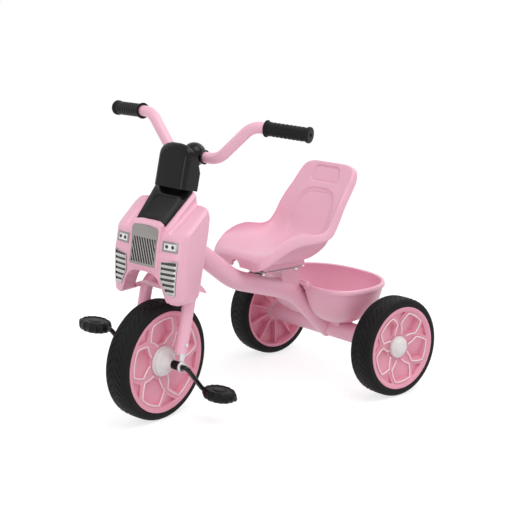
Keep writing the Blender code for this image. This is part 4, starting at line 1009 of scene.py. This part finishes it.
def carSection(x, inset=0.0):
    row = carRow(x)
    low, bumper, step, brow, back, crown = row[1:]
    lift = carLook["lobeLift"] * max(0.0, (abs(x) - 80) / 16) ** 2.2
    heights = (carHeights[0] + lift,) + carHeights[1:]
    front = list(zip((low, bumper, bumper + 1.5, step + 0.5, brow), heights))
    if inset:
        points = [(y + inset, z) for y, z in front]
        points[0] = (points[0][0], 266 + lift)
        points[-1] = (points[-1][0], 392)
        points += [(back - 10, crown - 12), (back + 2, crown - 24), (75, crown - 40), (75, 250), (12, 250),
                   (12, 266 + lift)]
        return [Vector((x, y, z)) for y, z in points]
    points = front + [(back - 8, crown), (back, crown - 9), (back - 4, 400), (17, 262 + lift)]
    return softCorners([Vector((x, y, z)) for y, z in points], carLook["corner"], 6)


def faceY(x, z):
    row = carRow(x)
    front = (row[1], row[2], row[2] + 1.5, row[3] + 0.5, row[4])
    return between(list(zip(carHeights, front)), z)


def carStation(u):
    # stations crowd towards the sides, where the shell turns
    return carLook["half"] * sin((u * 2 - 1) * pi / 2)


def carPlace(inset):
    ringsMade = {}

    def place(u, v):
        if u not in ringsMade:
            x = carStation(u)
            ring = carSection(x, inset)
            if inset:
                for point in ring:
                    point.x *= 91.5 / 96
            ringsMade[u] = ring + [ring[0]]
        ring = ringsMade[u]
        return ring[round(v * (len(ring) - 1))]
    return place


outerCount = len(carSection(0))
innerCount = len(carSection(0, carLook["skin"]))
carShell = rounded(shapedGrid(carLook["across"], outerCount, carPlace(0.0), roundWay=True), 3.5, 4, 50)
carRoom = shapedGrid(carLook["across"] // 3, innerCount, carPlace(carLook["skin"]), roundWay=True)

panelLow = Vector(hoodLook["low"])
panelWay = Vector(hoodLook["high"]) - panelLow
panelLong = panelWay.length
panelWay.normalize()
panelUp = Vector((0, -panelWay.z, panelWay.y))


def panelPoint(x, along, lift):
    return Vector((x, 0, 0)) + panelLow + panelWay * along + panelUp * lift


def bonnet(start, end, inset, lift):
    rings = []
    for along in (start, end):
        top = panelPoint(0, along, lift)
        half = 44 + 8 * along / panelLong - inset
        foot = half + 9
        edge = ((-foot, -27), (-foot, -12), (-half, 0), (half, 0), (foot, -12), (foot, -27))
        rings.append([Vector((x, top.y, top.z + drop)) for x, drop in edge])
    return skinned(rings)


def panelShape(grow, rows=9):
    half = hoodLook["front"] + grow
    wide = hoodLook["back"] + grow
    turns = [k / rows * 2 - 1 for k in range(rows + 1)]
    points = [(half * t, hoodLook["bow"] * (1 - t * t) - grow) for t in turns]
    return points + [(wide, panelLong + grow), (-wide, panelLong + grow)]


def panelBody(outline, low, high):
    return skinned([[panelPoint(x, along, lift) for x, along in outline] for lift in (low, high)])


noseLine = [(330, -47.5), (376, -41.5), (416.5, -36.3), (421, -31), (424, -18)]
nose = raised([(0, y, z) for z, y in noseLine] + [(0, -18, 330)], (-38.5, 0, 0), (38.5, 0, 0))


def noseY(z):
    return between(noseLine[:3], z)


def nosePlate(low, high, half, front, back):
    heights = [low, 376, high] if low < 376 < high else [low, high]
    corners = ((-half, -front), (half, -front), (half, back), (-half, back))
    return skinned([[Vector((x, noseY(z) + depth, z)) for x, depth in corners] for z in heights])


def headerShape(grow, front, back):
    half = 35 + grow
    shoulder = 31 + grow
    outline = [(-half, 389), (half, 389), (half, 407.5), (shoulder, 412 + grow), (12, 414.6 + grow),
               (-12, 414.6 + grow), (-shoulder, 412 + grow), (-half, 407.5)]
    return skinned([[Vector((x, noseY(z) + depth, z)) for x, z in outline] for depth in (-front, back)])


def facePlate(side, levels, grow, front, back):
    # plate on the front face between two edges given by height
    rings = []
    last = len(levels) - 1
    for i, (z, inner, outer) in enumerate(levels):
        z += -grow if i == 0 else grow if i == last else 0
        low = inner - grow
        high = outer + grow
        spots = [low + (high - low) * k / 4 for k in range(5)]
        rings.append([Vector((side * x, faceY(x, z) - front, z)) for x in spots]
                     + [Vector((side * x, faceY(x, z) + back, z)) for x in spots[::-1]])
    return skinned(rings)


def ventEdges(z):
    reach = (z - ventLook["low"]) / (ventLook["high"] - ventLook["low"])
    low, high = ventLook["outer"]
    return between(ventLook["inner"], z), low + (high - low) * reach


ventHeights = [ventLook["low"] + (ventLook["high"] - ventLook["low"]) * k / 8 for k in range(9)]
ventLevels = [(z, *ventEdges(z)) for z in ventHeights] + [(353, 76, 84.5)]

carShell = fused(carShell, rounded(bonnet(-6, panelLong + 4, 0, -4.3), 3.0, 4, 40), rounded(nose, 3.6, 4, 40))
archHalf = [(0, 324), (14, 323.4), (28, 321), (37, 316.4), (43, 310), (49, 301), (53, 292), (57.5, 280),
            (60.5, 273), (64, 267.5), (69, 263.6), (72, 262.4), (73, 240)]


def wheelArch(grow, back):
    half = [(x + (grow if x else 0), 0, z + grow) for x, z in archHalf]
    return raised(half + [(-x, y, z) for x, y, z in half[:0:-1]], (0, -80, 0), (0, back, 0))


play = carLook["play"]
carShell = carved(carShell, carved(carRoom, wheelArch(3, -4)), bonnet(6, panelLong + 30, 4, -8.0),
                  wheelArch(0, 90), panelBody(panelShape(play), -4.3, 20))
spaces = [fused(nosePlate(334, 391, 34 + play, 12, 3 + play), headerShape(play, 12, 3 + play))]
for name, side in sides:
    spaces.append(facePlate(side, lampLook["frame"], play, 12, 2 + play))
    spaces.append(facePlate(side, ventLevels, play, 12, 2 + play))
    line = []
    sizes = []
    for k in range(-2, 25):
        t = k / 20
        tip = 1 - sqrt(max(0.0, 1 - max(0.0, 0.12 - t) ** 2 / 0.048))
        size = carLook["valley"] * (1 - 0.55 * tip)
        line.append(Vector((side * (58.5 + 6.5 * t), -24 + 66 * t, 409.2 + 47 * t))
                    + Vector((0, -0.58, 0.81)) * (size - carLook["valleyDepth"]))
        sizes.append(size)
    spaces.append(tube(line, 1.0, 36, radii=sizes))
carShell = carved(carShell, *spaces)
arch = [Vector((x, faceY(x, z) + 0.4, z)) for x, z in archHalf if z > 266]
arch = mirrored(arch[:0:-1]) + arch
carShell = fused(carShell, tube(softCorners(arch, 8, 5, closed=False), carLook["lip"], 16))
bosses = [rounded(box((x, 8, 266.2), (x + 28, 16, 272)), 0.6, 2, 60) for x in (62, -90)]
legRooms = [rod(forkLook["tube"] + play, -60, 60, 48, rake(side * forkLook["halfWidth"], 140, 0), steerAxis)
            for name, side in sides]
lobeRooms = [box((x, -2, 250), (x + 36, 6, 268)) for x in (-86, 50)]
carShell = fused(carved(carShell, *lobeRooms), carved(joined(*bosses), joined(*legRooms)))
makePiece("car_shell", carShell, "shellPlastic", "steering", "car_front", 38.0)

well = [(p.x, p.y) for p in softCorners(hoodLook["well"], 6, 5)]
panel = panelBody(panelShape(0, 20), -hoodLook["thick"], 0)
panel = rounded(carved(panel, panelBody(well, -hoodLook["wellDepth"], 5)), 1.0, 3, 60)
makePiece("hood_plate", panel, "glossBlack", "steering", "hood_panel", 40.0)

barShape = ((-1.5, -0.2), (-1.0, -1.0), (-0.4, -1.25), (0.4, -1.25), (1.0, -1.0), (1.5, -0.2), (1.5, 1.4),
            (-1.5, 1.4))
slope = grilleLook["lean"] / (grilleLook["high"] - grilleLook["low"])


def grilleBar(heights, place, lean):
    # a bar that leans about the middle of the window and ends at its edges
    rings = []
    for z in heights:
        middle = place + lean * (grilleLook["middle"] - z)
        rings.append([Vector((middle + x, noseY(z) + y, z)) for x, y in barShape])
    return skinned(rings)


bars = []
for k in range(-3, grilleLook["bars"] + 5):
    place = (k - 0.5) * 62 / grilleLook["bars"] - 31
    foot = max(grilleLook["low"], grilleLook["middle"] - (grilleLook["half"] - place) / slope)
    top = min(grilleLook["high"], grilleLook["middle"] + (grilleLook["half"] + place) / slope)
    if top - foot >= 5:
        bars.append(grilleBar([foot + (top - foot) * n / 8 for n in range(9)], place, slope))
for place in (-32.4, 32.4):
    bars.append(grilleBar((grilleLook["low"], 376, grilleLook["high"]), place, 0))
foot = rounded(nosePlate(334.4, 339.5, 34, 1.4, 3.0), 0.6, 3, 60)
header = rounded(headerShape(0, 1.0, 3.0), 0.6, 3, 50)
makePiece("grille_trim", joined(foot, header, *bars), "trimSilver", "steering", "grille", 40.0)
makePiece("grille_backing", nosePlate(339.7, 388.8, 33, -1.5, 3.0), "trimDark", "steering")

bulbProfile = [(0, -0.2), (3.7, -0.2), (3.7, 1.0), (3.3, 1.4), (2.7, 1.4), (2.3, 1.0), (0, 0.8)]
# height above the foot of a slat, and how far it stands out
slatProfile = [(0.0, -0.2), (0.7, -1.2), (2.0, -1.8), (3.8, -1.8), (5.3, -1.2), (6.3, -0.2)]
for name, side in sides:
    bezel = rounded(facePlate(side, lampLook["frame"], 0, 0.8, 2.0), 0.5, 2, 60)
    bezel = carved(bezel, facePlate(side, lampLook["lens"], 0, 3.0, -0.1))
    makePiece("headlight_bezel_" + name, bezel, "trimSilver", "steering", "headlight_" + name, 40.0)
    lens = rounded(facePlate(side, lampLook["lens"], -0.2, 0.45, 0.0), 0.3, 2, 60)
    makePiece("headlight_lens_" + name, lens, "lensClear", "steering", smooth=40.0)
    bulbs = [lathe(bulbProfile, 32, (side * x, faceY(x, 380), 380), (0, -1, 0)) for x in lampLook["bulbs"]]
    makePiece("headlight_bulbs_" + name, joined(*bulbs), "trimDark", "steering")
    slats = []
    for k in range(ventLook["slats"]):
        rings = []
        for rise, out in slatProfile:
            z = ventLook["first"] + k * ventLook["pitch"] + rise
            inner, outer = ventEdges(z)
            spots = [inner + 0.3 + (outer - inner - 0.6) * j / 6 for j in range(7)]
            rings.append([Vector((side * x, faceY(x, z) + out, z)) for x in spots]
                         + [Vector((side * x, faceY(x, z) + 1.2, z)) for x in spots[::-1]])
        slats.append(rounded(skinned(rings), 0.25, 2, 70))
    rim = carved(facePlate(side, ventLevels, 0, 2.0, 1.8), facePlate(side, ventLevels, -1.6, 3.2, 3.2))
    makePiece("vent_slats_" + name, joined(rounded(rim, 0.5, 2, 60), *slats), "ventChrome", "steering",
              "vent_" + name, 40.0)
    backing = facePlate(side, ventLevels, -0.2, -0.8, 2.0)
    makePiece("vent_backing_" + name, backing, "trimDark", "steering")
print("car front made")


# cowl and handlebar cover

cowlLook = {"half": 41.0, "front": -54.0, "back": 12.0, "low": 354.9, "corner": 12.0, "wall": 3.0,
            "bore": 12.5}
coverLook = {"ball": 25.0, "collar": 15.0, "length": 28.0, "bore": 12.2}


def rakeBody(outline, low, high):
    return skinned([[rake(x, along, back) for x, along in outline] for back in (low, high)])


def cowlShape(inset, low):
    half = cowlLook["half"]
    right = [(half, low), (half, 425), (half - 3, 434), (half - 13, 442), (half - 27, 446)]
    right = [(x - inset, along - (inset if i else 0)) for i, (x, along) in enumerate(right)]
    flat = softCorners([Vector((x, a, 0)) for x, a in right + [(-x, a) for x, a in right[::-1]]], 14, 6)
    return [(p.x, p.y) for p in flat]


def cowlBody(wall, low):
    # box with a quarter round between its front and its sides
    corner = cowlLook["corner"] - wall * 0.5
    rings = [(cowlShape(wall, low), cowlLook["back"] + wall * 3)]
    for k in range(9):
        t = pi / 2 * k / 8
        place = cowlLook["front"] + wall + corner * (1 - sin(t))
        rings.append((cowlShape(wall + corner * (1 - cos(t)), low), place))
    return skinned([[rake(x, along, back) for x, along in outline] for outline, back in rings])


cowl = cowlBody(0, cowlLook["low"] - 30)
cowlRoom = cowlBody(cowlLook["wall"], cowlLook["low"] - 50)
below = rakeBody([(-60, 300), (60, 300), (60, cowlLook["low"]), (-60, cowlLook["low"])], -80, 60)
backLine = [(350, -8), (392, -8), (418, -21), (450, -49), (480, -49), (480, 60), (350, 60)]
behind = skinned([[rake(x, a, b) for a, b in backLine] for x in (-60, 60)])
cowl = carved(cowl, cowlRoom, below, behind)
stay = rakeBody([(-10, 385), (10, 385), (10, 405), (-10, 405)], cowlLook["front"] + 1.5, -6)
stay = carved(stay, rod(cowlLook["bore"], 352, 420, 48, wheelCentre, steerAxis))
cowl = fused(cowl, rounded(stay, 0.5, 2, 60))
makePiece("cowl_shell", cowl, "glossBlack", "steering", "cowl", 40.0)

ball = bmesh.new()
bmesh.ops.create_uvsphere(ball, u_segments=64, v_segments=32, radius=coverLook["ball"])
bmesh.ops.translate(ball, vec=barCentre, verts=ball.verts)
collar, length = coverLook["collar"], coverLook["length"]
collarEnd = [(collar, length - 0.8), (collar - 0.8, length), (0, length)]
sleeve = lathe([(radius, -along) for radius, along in collarEnd[::-1]] + collarEnd, 48, barMiddle)
steererRoom = rod(cowlLook["bore"], 352, 414, 48, wheelCentre, steerAxis)
ball = carved(fused(ball, sleeve), rod(coverLook["bore"], -50, 50, 48, barMiddle), steererRoom)
makePiece("bar_cover_ball", ball, "glossBlack", "steering", "bar_cover", 40.0)
print("cowl made")


# finishes of the solids that stay

keptFinish = {"zincSteel": ("seat_plate", "seat_bolt_1", "seat_bolt_2", "seat_bolt_3", "seat_bolt_4",
                            "rear_axle_rod", "rear_axle_nut_left", "rear_axle_nut_right"),
              "tubePaint": ("steerer_tube", "seat_bracket", "basket_bracket"),
              "hubWhite": ("axle_bush_left", "axle_bush_right"),
              "satinBlack": ("head_bush_lower", "head_bush_upper")}
for look, names in keptFinish.items():
    for name in names:
        bpy.data.objects[name].material_slots[0].material = finishes[look]
